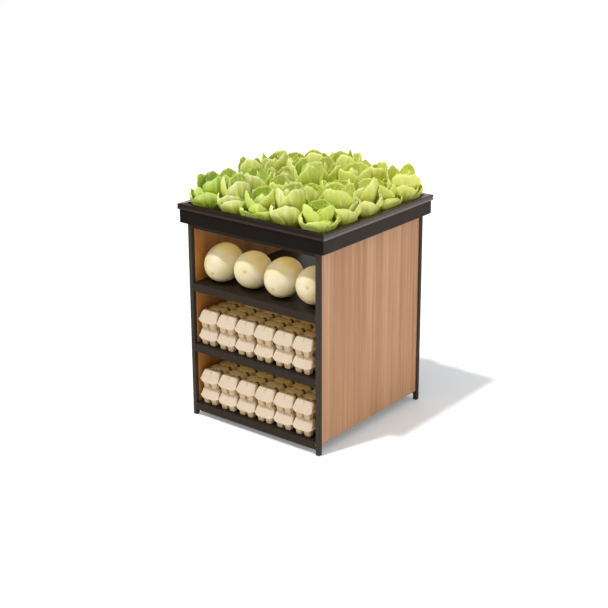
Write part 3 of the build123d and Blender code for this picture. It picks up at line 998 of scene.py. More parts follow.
@dataclass
class Stage:
    """Pale floor, soft studio light and the camera."""

    floor_radius: float = 14.0
    floor_sides: int = 96
    floor_colour: Colour = opaque(0.965, 0.985, 1.0)
    floor_bounce: Colour = opaque(0.85, 0.84, 0.82)
    floor_glow: float = 0.16
    ambient: float = 0.70
    ambient_lean: float = 0.22
    sun_place: Triple = (0.0, 0.0, 3.0)
    sun_path: Triple = (0.124, 0.378, -0.918)
    sun_strength: float = 2.1
    sun_spread: float = math.radians(3.0)
    soft_place: Triple = (2.7, 1.3, 1.2)
    soft_target: Triple = (0.9, 0.6, 0.1)
    soft_size: tuple[float, float] = (2.2, 1.8)
    soft_power: float = 7.0
    bay_colour: Triple = (1.0, 0.80, 0.34)
    bay_size: tuple[float, float] = (0.52, 0.28)
    bay_place: tuple[float, float] = (0.0, -0.19)
    bay_path: Triple = (0.0, 0.1, -1.0)
    bay_spread: float = math.radians(110.0)
    bay_heights: Triple = (0.803, 0.56, 0.30)
    bay_powers: Triple = (0.28, 0.08, 0.08)
    camera_place: Triple = (3.1802, -4.0309, 2.3092)
    camera_pitch: float = math.radians(17.966)
    camera_turn: float = math.radians(37.5725)
    camera_lens: float = 78.563
    camera_shift: tuple[float, float] = (-0.03038, -0.07128)

    def build(self) -> None:
        """Sets the whole stage."""
        bpy.context.scene.view_settings.view_transform = "Standard"
        self._floor()
        self._world()
        self._lights()
        self._camera()
        LOG.info("stage set")

    @staticmethod
    def _seen(graph: Graph) -> Value:
        """One for rays from the camera, from gloss and through glass, nought for the light that falls."""
        ray = graph.node("ShaderNodeLightPath", output="Is Camera Ray")
        return ray.larger(ray.out("Is Glossy Ray")).larger(ray.out("Is Transmission Ray"))

    def _floor(self) -> None:
        """Lays the floor: white to the camera, with the shadow kept."""
        disc = bmesh.new()
        bmesh.ops.create_circle(disc, cap_ends=True, segments=self.floor_sides, radius=self.floor_radius)
        mesh = bpy.data.meshes.new("floor")
        disc.to_mesh(mesh)
        disc.free()
        shader = Shader("pale_floor")
        seen = self._seen(shader)
        colour = shader.mix(seen, self.floor_bounce, self.floor_colour)
        matt = shader.node("ShaderNodeBsdfDiffuse", None, {"Color": colour})
        glow = shader.node("ShaderNodeEmission", None, {"Color": WHITE, "Strength": 1.0})
        shader.close(shader.node("ShaderNodeMixShader", None, {0: seen * self.floor_glow, 1: matt, 2: glow}))
        mesh.materials.append(shader.material)
        add_object("floor", mesh)

    def _world(self) -> None:
        """Lights the room softly, more from the front than from behind, and white where it is seen."""
        world = bpy.data.worlds.new("room")
        world.use_nodes = True
        world.node_tree.nodes.clear()
        bpy.context.scene.world = world
        graph = Graph(world.node_tree)
        behind = graph.axis(graph.node("ShaderNodeTexCoord", output="Generated"), "Y")
        strength = self.ambient - behind * self.ambient_lean
        light = graph.node("ShaderNodeBackground", None, {"Color": WHITE, "Strength": strength})
        white = graph.node("ShaderNodeBackground", None, {"Color": WHITE, "Strength": 1.0})
        mixed = graph.node("ShaderNodeMixShader", None, {0: self._seen(graph), 1: light, 2: white})
        graph.node("ShaderNodeOutputWorld", None, {"Surface": mixed}, None)

    def _lights(self) -> None:
        """Hangs the key light, the soft fill and the faint fills for the light bounced about the bays."""
        sun = bpy.data.lights.new("key_light", "SUN")
        sun.energy = self.sun_strength
        sun.angle = self.sun_spread
        self._aim(sun, self.sun_place, Vector(self.sun_path))
        soft = self._panel("soft_fill", self.soft_size, self.soft_power)
        self._aim(soft, self.soft_place, Vector(self.soft_target) - Vector(self.soft_place))
        for height, power in zip(self.bay_heights, self.bay_powers):
            bay = self._panel(f"bay_fill_{round(height * 1000)}", self.bay_size, power)
            bay.spread = self.bay_spread
            bay.color = self.bay_colour
            self._aim(bay, (*self.bay_place, height), Vector(self.bay_path))

    @staticmethod
    def _panel(name: str, size: tuple[float, float], power: float) -> bpy.types.Light:
        """Makes a panel lamp.

        Args:
            name: name of the lamp.
            size: its two sides.
            power: its strength.

        Returns:
            The lamp.
        """
        panel = bpy.data.lights.new(name, "AREA")
        panel.shape = "RECTANGLE"
        panel.size, panel.size_y = size
        panel.energy = power
        return panel

    @staticmethod
    def _aim(light: bpy.types.Light, place: Sequence[float], path: Vector) -> None:
        """Hangs a lamp, and keeps a panel itself out of the picture and out of reflections.

        Args:
            light: the lamp.
            place: where it hangs.
            path: the way its light travels.
        """
        lamp = add_object(light.name, light)
        lamp.location = place
        lamp.rotation_euler = path.to_track_quat("-Z", "Y").to_euler()
        lamp.visible_camera = lamp.visible_glossy = light.type != "AREA"

    def _camera(self) -> None:
        """Stands the camera where the picture was taken from."""
        lens = bpy.data.cameras.new("camera")
        lens.lens = self.camera_lens
        lens.shift_x, lens.shift_y = self.camera_shift
        camera = add_object("camera", lens)
        camera.location = self.camera_place
        camera.rotation_euler = (math.pi / 2.0 - self.camera_pitch, 0.0, self.camera_turn)
        bpy.context.scene.camera = camera


@dataclass
class TubeFrame:
    """Posts, feet, top rails and side panels."""

    coat: PowderCoat = PowderCoat("frame_coat", opaque(0.044, 0.035, 0.029))
    # Painted shade: the rails get a darker copy of the frame coat, as they lie in the shade under the tray.
    rail_coat: PowderCoat = PowderCoat("rail_coat", opaque(0.020, 0.016, 0.013))
    foot: MouldedPlastic = MouldedPlastic("foot_plastic", opaque(0.022, 0.02, 0.019), 0.5)
    wood: WoodLaminate = WoodLaminate("side_laminate")

    def dress(self) -> None:
        """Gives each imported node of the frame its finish."""
        corners = [f"{end}_{side}" for end in ("front", "back") for side in ("left", "right")]
        rails = [f"top_rail_{place}" for place in ("front", "back", "left", "right", "middle")]
        dress_nodes([f"post_{corner}" for corner in corners], self.coat.material())
        dress_nodes(rails, self.rail_coat.material())
        dress_nodes([f"foot_{corner}" for corner in corners], self.foot.material())
        dress_nodes(["side_panel_left", "side_panel_right"], self.wood.material())


@dataclass
class Shelves:
    """Folded shelves, their stiffeners, bolts and screws."""

    # Painted light: the front lips are painted lighter than the decks, as the light falls on them.
    coat: PowderCoat = PowderCoat(
        "shelf_coat",
        opaque(0.019, 0.0135, 0.0095),
        roughness=0.34,
        gloss=0.08,
        front_edge=-0.3466,
        front_light_share=1.5,
    )
    zinc: ZincSteel = ZincSteel("fastener_zinc")

    def dress(self) -> None:
        """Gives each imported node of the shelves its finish."""
        levels = ("bottom", "middle", "upper")
        shelves = [f"shelf_{level}" for level in levels]
        stiffeners = [f"shelf_stiffener_{level}" for level in levels]
        dress_nodes(shelves + stiffeners, self.coat.material())
        dress_nodes(["shelf_bolts", "panel_screws"], self.zinc.material())


# Lit and shaded copies of one bronze, as painted light and shade: the pale tone is the lit sides, the darker
# ones are painted shade, and the tan one is a painted sunlit highlight on the far tops.
SHADED_FRONT_BRONZE = opaque(0.042, 0.030, 0.022)
DEEP_SHADE_BRONZE = opaque(0.017, 0.012, 0.009)
SHADED_SIDE_BRONZE = opaque(0.068, 0.058, 0.050)
LIT_SIDE_BRONZE = opaque(0.18, 0.152, 0.133)
SUNLIT_BRONZE = opaque(0.28, 0.22, 0.13)


@dataclass
class TopTray:
    """The lift-off tray with its edge trims, pads and rivets."""

    # Painted shade: the skirt's front face is painted darker than its sides.
    coat: PowderCoat = PowderCoat("tray_coat", opaque(0.040, 0.032, 0.028), gloss=0.05, front_edge=-0.3592)
    # The trims are lit and shaded copies of one moulding: the front one is darker and duller as painted shade,
    # the far ones get a painted sunlit top and the right one a shaded top.
    trims: tuple[TrimMoulding, ...] = (
        TrimMoulding(
            "trim_front", Run.ALONG_X, SHADED_FRONT_BRONZE, DEEP_SHADE_BRONZE, DEEP_SHADE_BRONZE, metal=0.0, gloss=0.03
        ),
        TrimMoulding("trim_back", Run.ALONG_X, LIT_SIDE_BRONZE, SHADED_SIDE_BRONZE, SUNLIT_BRONZE),
        TrimMoulding("trim_left", Run.ALONG_Y, LIT_SIDE_BRONZE, SHADED_SIDE_BRONZE, SUNLIT_BRONZE),
        TrimMoulding("trim_right", Run.ALONG_Y, LIT_SIDE_BRONZE, SHADED_SIDE_BRONZE, SHADED_SIDE_BRONZE),
    )
    rubber: MouldedPlastic = MouldedPlastic("pad_rubber", opaque(0.03, 0.03, 0.03), 0.75)
    rivet: ZincSteel = ZincSteel("rivet_zinc")

    def dress(self) -> None:
        """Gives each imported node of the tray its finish."""
        dress_nodes(["top_tray"], self.coat.material())
        for trim in self.trims:
            dress_nodes([f"edge_{trim.name}"], trim.material())
        dress_nodes(["tray_pads"], self.rubber.material())
        dress_nodes(["tray_rivets"], self.rivet.material())


@dataclass(frozen=True)
class LeafForm:
    """One cupped leaf of a bulb-shaped head, rooted at the head's axis, with its back turned out along +Y.

    Spreads are in degrees to each side. The reach at the tip is a share of the widest, and the arch is a
    share of the height.
    """

    height: float
    widest: float
    tip: float
    spread: float
    arch: float
    point: float
    seed: int
    curl: float = 0.0
    curl_start: float = 0.7
    base_spread: float = 82.0
    opening: float = 0.62
    flatness: float = 1.1
    peak_shift: float = 0.18
    ruffle: float = 0.006
    ruffle_waves: float = 7.5
    ruffle_offset: float = 1.3
    pleat: float = 0.0014
    pleats: float = 5.0
    pleat_start: float = 0.2
    pleat_rise: float = 0.4
    relief_start: float = 0.35
    rib: float = 0.0022
    rib_width: float = 0.09
    rib_fade: float = 0.85
    thick: float = 0.0016
    thinning: float = 0.55
    margin_start: float = 0.72
    margin_power: int = 10
    across: int = 28
    along: int = 20

    # Control numbers of the belly's curve below the tip, as shares of the widest.
    BELLY = (0.26, 0.22, 1.38)
    # Size, waves across and draw of each wave in the upper edge.
    EDGE_WAVES = ((0.012, 5.0, 0), (0.007, 11.0, 1), (0.005, 19.0, 6))
    # Size, waves across, waves along, draw and first place along of each swelling.
    SWELLINGS = ((0.0026, 4.2, 5.0, 3, 0.3), (0.0018, 8.5, -6.5, 4, 0.4))
    # Which draw each other random thing takes, and how many there are.
    RUFFLE_DRAW = 2
    PEAK_DRAW = 5
    PLEAT_DRAW = 7
    DRAWS = 8
    # How the pleats fan out from the base.
    FAN_ROOT = 0.5
    FAN_GROWTH = 1.6
    # Keeps a normal of no length from being divided by nought.
    LEAST_LENGTH = 1e-9

    def _edge(self, side: np.ndarray, phase: np.ndarray) -> np.ndarray:
        """Draws the upper edge.

        Args:
            side: place across the leaf, from minus one to one.
            phase: the leaf's random phases.

        Returns:
            Where the edge stands, as a share of the leaf's height.
        """
        wobble = sum(size * np.sin(waves * side + phase[draw]) for size, waves, draw in self.EDGE_WAVES)
        peak = self.peak_shift * math.sin(phase[self.PEAK_DRAW])
        return 1.0 - self.arch * (np.abs(side - peak) / (1.0 + abs(peak))) ** self.point + wobble

    def _relief(self, side: np.ndarray, share: np.ndarray, phase: np.ndarray) -> np.ndarray:
        """Raises the ruffled sides, the swellings and the pleats.

        Args:
            side: place across the leaf, from minus one to one.
            share: place along the leaf, from nought to one.
            phase: the leaf's random phases.

        Returns:
            How far the sheet stands out.
        """
        ripple = self.ruffle_waves * share + phase[self.RUFFLE_DRAW] + self.ruffle_offset * np.sign(side)
        relief = self.ruffle * np.abs(side) ** 3 * np.sin(ripple)
        for size, wide, tall, draw, start in self.SWELLINGS:
            relief = relief + size * np.sin(wide * side + tall * share + phase[draw]) * smooth(share / start)
        fan = side / (self.FAN_GROWTH * share + self.FAN_ROOT)
        fold = np.sin(2.0 * math.pi * self.pleats * fan + phase[self.PLEAT_DRAW])
        relief = relief + self.pleat * fold * smooth((share - self.pleat_start) / self.pleat_rise)
        return relief * smooth(share / self.relief_start)

    def _sheet(self) -> tuple[np.ndarray, np.ndarray, np.ndarray, np.ndarray]:
        """Lays out the leaf's middle sheet.

        Returns:
            Its points, their unit normals towards the back, the place across and the place along.
        """
        phase = np.random.default_rng(self.seed).uniform(0.0, 2.0 * math.pi, self.DRAWS)
        side = np.linspace(-1.0, 1.0, self.across + 1)[None, :]
        rise = np.linspace(0.0, 1.0, self.along + 1)[:, None]
        share = rise * self._edge(side, phase)
        reach = self.widest * bezier(share, (*self.BELLY, self.tip))
        half = np.radians(self.base_spread + (self.spread - self.base_spread) * smooth(share / self.opening))
        angle = side * half / self.flatness
        curl = self.curl * smooth((rise - self.curl_start) / (1.0 - self.curl_start)) ** 2
        radius = reach * self.flatness + self._relief(side, share, phase) + curl
        rib = self.rib * bell(side, self.rib_width) * (1.0 - self.rib_fade * share)
        x = radius * np.sin(angle)
        y = reach - reach * self.flatness + radius * np.cos(angle) + rib
        z = np.broadcast_to(self.height * share, x.shape)
        points = np.stack((x, y, z), axis=-1)
        normals = np.cross(np.gradient(points, axis=0), np.gradient(points, axis=1))
        lengths = np.linalg.norm(normals, axis=-1, keepdims=True)
        normals = normals / np.maximum(lengths, self.LEAST_LENGTH)
        return points, normals, np.broadcast_to(side, x.shape), np.broadcast_to(share, x.shape)

    def mesh(self, name: str) -> bpy.types.Mesh:
        """Thickens the sheet into a closed leaf.

        Args:
            name: name of the mesh.

        Returns:
            The mesh, with its UV map and its "inner" and "margin" attributes.
        """
        points, normals, side, share = self._sheet()
        half = (self.thick * (1.0 - self.thinning * share) / 2.0)[..., None]
        back = (points + normals * half).reshape(-1, 3)
        front = (points - normals * half).reshape(-1, 3)
        tall, wide = side.shape
        count = wide * tall
        grid = np.arange(count).reshape(tall, wide)
        quads = (grid[:-1, :-1], grid[1:, :-1], grid[1:, 1:], grid[:-1, 1:])
        corners = np.stack(quads, axis=-1).reshape(-1, 4)
        rim = np.concatenate((grid[0, :-1], grid[:-1, -1], grid[-1, :0:-1], grid[:0:-1, 0]))
        after = np.roll(rim, -1)
        edge = np.stack((rim, after, after + count, rim + count), axis=-1)
        faces = np.concatenate((corners, corners[:, ::-1] + count, edge))
        mesh = bpy.data.meshes.new(name)
        mesh.from_pydata(np.concatenate((back, front)).tolist(), [], faces.tolist())
        uv = np.stack((side / 2.0 + 0.5, share), axis=-1).reshape(-1, 2)
        places = np.concatenate((uv, uv))[faces.ravel()]
        mesh.uv_layers.new(name="leaf").data.foreach_set("uv", places.astype(np.float32).ravel())
        rows = np.linspace(0.0, 1.0, tall)[:, None]
        upper = smooth((rows - self.margin_start) / (1.0 - self.margin_start))
        margin = np.maximum(np.abs(side) ** self.margin_power, upper).ravel()
        store_numbers(mesh, "inner", np.concatenate((np.zeros(count), np.ones(count))))
        store_numbers(mesh, "margin", np.concatenate((margin, margin)))
        mesh.shade_smooth()
        return mesh


class Draw(Enum):
    """The random draws of a lettuce row, as steps from the row's seed."""

    SWAY_X = 0
    SWAY_Y = 1
    TURN = 3
    LEAN = 4
    ROLL = 5
    HEIGHT = 6
    GIRTH = 7
    FORM = 8
    LEAF_TONE = 9
    HEAD_TONE = 10


@dataclass(frozen=True)
class LeafCopy:
    """One leaf of a row as values of the tree: its head and row, its ring, its number there and its draws."""

    layout: Layout
    index: Value
    head: Value
    row: Value
    ring: Value
    member: Value
    skirt: Value

    def for_leaf(self, low: float, high: float, draw: Draw) -> Value:
        """A random number for each leaf."""
        return self.layout.chance(low, high, self.index, self.layout.given.out("Seed") + draw.value)

    def for_head(self, low: float, high: float, draw: Draw) -> Value:
        """A random number for each head."""
        return self.layout.chance(low, high, self.head, self.layout.given.out("Seed") + draw.value)


@dataclass
class LettuceBed:
    """Rows of lettuce heads in the tray, each of full rings of leaves with a low skirt round them."""

    rows: int = 5
    heads: int = 5
    pitch: float = 0.1368
    full_rings: int = 4
    ring_leaves: int = 3
    skirt_leaves: int = 4
    variants: int = 3
    row_turn: float = math.radians(47.0)
    head_turn: float = math.radians(131.0)
    turn_play: float = 0.17
    lean: float = math.radians(3.0)
    ring_lean: float = math.radians(-1.5)
    skirt_lean: float = math.radians(5.0)
    lean_play: float = math.radians(3.0)
    roll_play: float = 0.09
    sway: float = 0.003
    row_growth: float = 0.02
    growth_spread: float = 0.11
    row_phase: float = math.radians(-110.0)
    head_phase: float = math.radians(150.0)
    crest: float = 0.01
    crest_turn: float = math.radians(120.0)
    crest_start: float = math.radians(-160.0)
    height_play: float = 0.03
    girth_play: float = 0.02
    girth_step: float = 0.045
    leaf_tone: float = 0.55
    head_tone: float = 0.45
    seed: int = 11
    seed_step: int = 20
    rim_top: float = 0.909
    rim_blend: float = 0.03
    inside: float = 0.339
    overhang: float = 0.360
    give: float = 0.016
    finish: LettuceLeaf = LettuceLeaf("lettuce_leaf")

    # Height, widest reach, tip, spread, arch, point, seed and curl: three forms each of the outer, the
    # standing, the inner and the core leaves, and of the skirt.
    FORMS = (
        LeafForm(0.140, 0.0655, 0.88, 66.0, 0.50, 2.3, 1),
        LeafForm(0.134, 0.0660, 0.92, 70.0, 0.48, 2.4, 2, 0.002),
        LeafForm(0.148, 0.0650, 0.84, 62.0, 0.54, 2.0, 3),
        LeafForm(0.188, 0.0590, 0.80, 80.0, 0.44, 2.5, 4),
        LeafForm(0.182, 0.0590, 0.86, 84.0, 0.40, 2.7, 5, 0.003),
        LeafForm(0.194, 0.0580, 0.74, 76.0, 0.48, 2.1, 6),
        LeafForm(0.172, 0.0420, 0.62, 88.0, 0.44, 2.2, 7),
        LeafForm(0.178, 0.0410, 0.55, 88.0, 0.44, 2.2, 8),
        LeafForm(0.198, 0.0400, 0.60, 46.0, 0.66, 1.3, 9),
        LeafForm(0.152, 0.0270, 0.50, 90.0, 0.40, 2.2, 13),
        LeafForm(0.158, 0.0260, 0.46, 90.0, 0.42, 2.2, 14),
        LeafForm(0.146, 0.0275, 0.55, 88.0, 0.38, 2.4, 15),
        LeafForm(0.124, 0.0780, 0.84, 66.0, 0.44, 2.5, 10),
        LeafForm(0.118, 0.0790, 0.90, 70.0, 0.40, 2.8, 11, 0.002),
        LeafForm(0.134, 0.0770, 0.82, 62.0, 0.50, 2.2, 12),
    )
    INPUTS = {
        "Heads": "NodeSocketInt",
        "Head pitch": "NodeSocketFloat",
        "Leaves": "NodeSocketInt",
        "Row": "NodeSocketInt",
        "Place": "NodeSocketVector",
        "Seed": "NodeSocketInt",
        "Forms": "NodeSocketCollection",
        "Finish": "NodeSocketMaterial",
    }
    # Keeps the greatest draw just under the number of forms.
    HAIR = 0.001

    def build(self) -> None:
        """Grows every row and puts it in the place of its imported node."""
        forms = self._forms()
        tree = self._tree()
        finish = self.finish.material()
        for row in range(1, self.rows + 1):
            node = f"lettuce_row_{row}"
            low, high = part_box(node)
            values = {
                "Heads": self.heads,
                "Head pitch": self.pitch,
                "Leaves": self.full_rings * self.ring_leaves + self.skirt_leaves,
                "Row": row - 1,
                "Place": (0.0, (low.y + high.y) / 2.0, low.z),
                "Seed": self.seed + self.seed_step * row,
                "Forms": forms,
                "Finish": finish,
            }
            piece = tree.piece(f"lettuce_heads_{row}", values)
            self._keep_clear(piece.data)
            stand_in(piece, "lettuce", node)
        for form in list(forms.objects):
            bpy.data.objects.remove(form)
        bpy.data.collections.remove(forms)

    def _forms(self) -> bpy.types.Collection:
        """Gathers the leaf forms that the tree picks from, outer leaves first.

        Returns:
            The collection of forms.
        """
        forms = bpy.data.collections.new("leaf_forms")
        for number, form in enumerate(self.FORMS):
            name = f"leaf_{number:02d}"
            forms.objects.link(bpy.data.objects.new(name, form.mesh(name)))
        return forms

    def _tree(self) -> Layout:
        """Builds the tree that sets rings of leaves round each head of a row.

        Returns:
            The tree.
        """
        layout = Layout("lettuce_row", self.INPUTS)
        given = layout.given
        heads = given.out("Heads")
        leaf = self._leaf(layout)
        across = (leaf.head - (heads - 1) / 2.0) * given.out("Head pitch")
        across = across + leaf.for_head(-self.sway, self.sway, Draw.SWAY_X)
        deep = leaf.for_head(-self.sway, self.sway, Draw.SWAY_Y)
        points = layout.points(heads * given.out("Leaves"), layout.vector(across, deep, 0.0))
        forms = layout.node(
            "GeometryNodeCollectionInfo",
            None,
            {"Collection": given.out("Forms"), "Separate Children": True, "Reset Children": True},
        )
        variant = leaf.for_leaf(0.0, self.variants - self.HAIR, Draw.FORM).whole()
        copies = layout.node(
            "GeometryNodeInstanceOnPoints",
            None,
            {
                "Points": points,
                "Instance": forms,
                "Pick Instance": True,
                "Instance Index": leaf.ring * self.variants + variant,
                "Rotation": self._rotation(leaf),
                "Scale": self._scale(leaf),
            },
        )
        tone = leaf.for_leaf(0.0, self.leaf_tone, Draw.LEAF_TONE)
        tone = tone + leaf.for_head(0.0, self.head_tone, Draw.HEAD_TONE)
        copies = layout.store(copies, "tone", tone)
        # Painted light: a share that grows towards the right and back of the bed, which brightens those heads.
        copies = layout.store(copies, "ripe", (leaf.head + leaf.row) / (heads + self.rows - 2))
        layout.close(copies, given.out("Finish"))
        return layout

    def _leaf(self, layout: Layout) -> LeafCopy:
        """Tells each copy which leaf of the row it is.

        Args:
            layout: the tree.

        Returns:
            The leaf.
        """
        leaves = layout.given.out("Leaves")
        index = layout.node("GeometryNodeInputIndex")
        head = (index / leaves).whole()
        rank = index - head * leaves
        ring = (rank / self.ring_leaves).whole().smaller(self.full_rings)
        member = rank - ring * self.ring_leaves
        skirt = ring > self.full_rings - 0.5
        return LeafCopy(layout, index, head, layout.given.out("Row"), ring, member, skirt)

    def _rotation(self, leaf: LeafCopy) -> Value:
        """Turns the leaves of a ring round their head, those of the skirt to its corners, and leans them out.

        Args:
            leaf: the leaf.

        Returns:
            Its rotation.
        """
        step = 2.0 * math.pi / self.ring_leaves
        quarter = 2.0 * math.pi / self.skirt_leaves
        facing = math.pi + leaf.row * self.row_turn + leaf.head * self.head_turn
        round_head = facing + leaf.member * step + leaf.ring * (step / 2.0)
        corner = quarter / 2.0 + leaf.member * quarter
        turn = round_head + (corner - round_head) * leaf.skirt
        turn = turn + leaf.for_leaf(-self.turn_play, self.turn_play, Draw.TURN)
        lean = self.lean + leaf.ring * self.ring_lean + leaf.skirt * self.skirt_lean
        lean = (lean + leaf.for_leaf(-self.lean_play, self.lean_play, Draw.LEAN)).larger(0.0)
        roll = leaf.for_leaf(-self.roll_play, self.roll_play, Draw.ROLL)
        euler = leaf.layout.vector(0.0 - lean, roll, turn)
        return leaf.layout.node("FunctionNodeEulerToRotation", None, {"Euler": euler})

    def _scale(self, leaf: LeafCopy) -> Value:
        """Grows the leaves: heads differ in a slow wave, and the later leaves of a ring are slimmer.

        Args:
            leaf: the leaf.

        Returns:
            Its scale.
        """
        swell = (leaf.head * self.head_phase + leaf.row * self.row_phase).sine()
        crest = (leaf.head * self.crest_turn + self.crest_start).sine() * leaf.row * leaf.row * self.crest
        height = 1.0 + leaf.row * self.row_growth + swell * self.growth_spread + crest
        height = height * leaf.for_leaf(1.0 - self.height_play, 1.0 + self.height_play, Draw.HEIGHT)
        girth = leaf.for_leaf(1.0 - self.girth_play, 1.0 + self.girth_play, Draw.GIRTH)
        girth = girth * (1.0 - leaf.member * (1.0 - leaf.skirt) * self.girth_step)
        return leaf.layout.vector(girth, girth, height)

    def _keep_clear(self, mesh: bpy.types.Mesh) -> None:
        """Presses the leaves in from the tray's trims, so that the bed lifts straight out.

        Args:
            mesh: one row of heads.
        """
        flat = np.empty(len(mesh.vertices) * 3, np.float32)
        mesh.vertices.foreach_get("co", flat)
        points = flat.reshape(-1, 3)
        over = smooth((points[:, 2] - self.rim_top) / self.rim_blend)
        start = self.inside + (self.overhang - self.inside) * over - self.give
        for axis in (0, 1):
            size = np.abs(points[:, axis])
            pressed = start + self.give * (1.0 - np.exp(-np.maximum(size - start, 0.0) / self.give))
            points[:, axis] = np.sign(points[:, axis]) * np.where(size > start, pressed, size)
        mesh.vertices.foreach_set("co", points.ravel())
        mesh.update()


@dataclass(frozen=True)
class Melon:
    """One melon: an egg-shaped body of turning with faint lobes, lying on its side."""

    number: int
    axis: Triple
    radius: float = 0.0756
    blossom: float = 0.088
    stem: float = 0.089
    blossom_dimple: float = 0.002
    blossom_width: float = 0.13
    blossom_pit: float = 0.0028
    stem_dimple: float = 0.003
    stem_width: float = 0.16
    stem_pit: float = 0.0042
    lobes: int = 10
    lobe_depth: float = 0.004
    ground_and_bounce_share: float = 0.62
    around: int = 72
    along: int = 48

    def _support(self, way: Vector) -> float:
        """How far the body reaches from its middle in a direction.

        Args:
            way: a unit vector.

        Returns:
            The reach.
        """
        lean = way.dot(Vector(self.axis).normalized())
        end = self.blossom if lean > 0.0 else self.stem
        return math.sqrt(self.radius**2 * (1.0 - lean**2) + (end * lean) ** 2)

    def middle(self) -> Vector:
        """Finds the body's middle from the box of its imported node.

        Returns:
            The middle.
        """
        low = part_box(f"melon_{self.number}")[0]
        reach = [self._support(way) for way in (Vector((-1, 0, 0)), Vector((0, -1, 0)), Vector((0, 0, -1)))]
        return low + Vector(reach)

    def mesh(self) -> bpy.types.Mesh:
        """Turns the body.

        Returns:
            The mesh, with its UV map round and along the axis.
        """
        nose = Vector(self.axis).normalized()
        wide = nose.cross(Vector((0.0, 0.0, 1.0))).normalized()
        tall = wide.cross(nose)
        basis = np.array([wide, tall, nose])
        polar = math.pi * np.linspace(0.0, 1.0, self.along + 1)[1:-1, None]
        turn = np.linspace(0.0, 2.0 * math.pi, self.around, endpoint=False)[None, :]
        reach = np.where(polar < math.pi / 2.0, self.blossom, self.stem)
        length = reach * np.cos(polar) - self.blossom_dimple * bell(polar, self.blossom_width)
        length = length + self.stem_dimple * bell(math.pi - polar, self.stem_width)
        groove = self.lobe_depth * (1.0 + np.cos(self.lobes * turn + self.number)) * np.sin(polar) ** 2
        girth = self.radius * np.sin(polar) * (1.0 - groove)
        sides = (girth * np.cos(turn), girth * np.sin(turn), np.broadcast_to(length, girth.shape))
        points = np.stack(sides, axis=-1).reshape(-1, 3)
        tips = ((0.0, 0.0, self.blossom - self.blossom_pit), (0.0, 0.0, self.stem_pit - self.stem))
        return self._skin(np.concatenate((points, tips)) @ basis + np.array(self.middle()))

    def _skin(self, points: np.ndarray) -> bpy.types.Mesh:
        """Covers the rings of points with faces.

        Args:
            points: ring after ring, then the blossom tip and the stem tip.

        Returns:
            The closed mesh.
        """
        rings = self.along - 1
        nose = rings * self.around
        last = nose - self.around
        faces: list[tuple[int, ...]] = []
        places: list[tuple[float, float]] = []
        for step in range(self.around):
            after = (step + 1) % self.around
            left, right = step / self.around, (step + 1) / self.around
            middle = (left + right) / 2.0
            faces.append((nose, step, after))
            places += [(middle, 0.0), (left, 1.0 / self.along), (right, 1.0 / self.along)]
            faces.append((nose + 1, last + after, last + step))
            places += [(middle, 1.0), (right, rings / self.along), (left, rings / self.along)]
            for ring in range(rings - 1):
                low, high = ring * self.around, (ring + 1) * self.around
                near, far = (ring + 1) / self.along, (ring + 2) / self.along
                faces.append((low + step, high + step, high + after, low + after))
                places += [(left, near), (left, far), (right, far), (right, near)]
        mesh = bpy.data.meshes.new(f"melon_body_{self.number}")
        mesh.from_pydata(points.tolist(), [], faces)
        mesh.uv_layers.new(name="rind").data.foreach_set("uv", np.array(places, np.float32).ravel())
        foot, crown = points[:, 2].min(), points[:, 2].max()
        rise = (points[:, 2] - foot) / (crown - foot)
        # The yellower lower side: partly a ground spot, partly painted warm bounce light.
        store_numbers(mesh, "ground", 1.0 - smooth(rise / self.ground_and_bounce_share))
        mesh.shade_smooth()
        return mesh


@dataclass
class MelonRow:
    """Four melons on the upper shelf, their blossom ends by turns low and high."""

    low_nose: Triple = (0.138, -0.930, -0.305)
    high_nose: Triple = (0.299, -0.960, 0.185)
    count: int = 4
    finish: MelonRind = MelonRind("melon_rind")

    def build(self) -> None:
        """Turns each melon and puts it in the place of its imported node."""
        finish = self.finish.material()
        for number in range(1, self.count + 1):
            axis = self.low_nose if number % 2 else self.high_nose
            mesh = Melon(number, axis).mesh()
            mesh.materials.append(finish)
            stand_in(add_object(mesh.name, mesh), f"melon_{number}", f"melon_{number}")


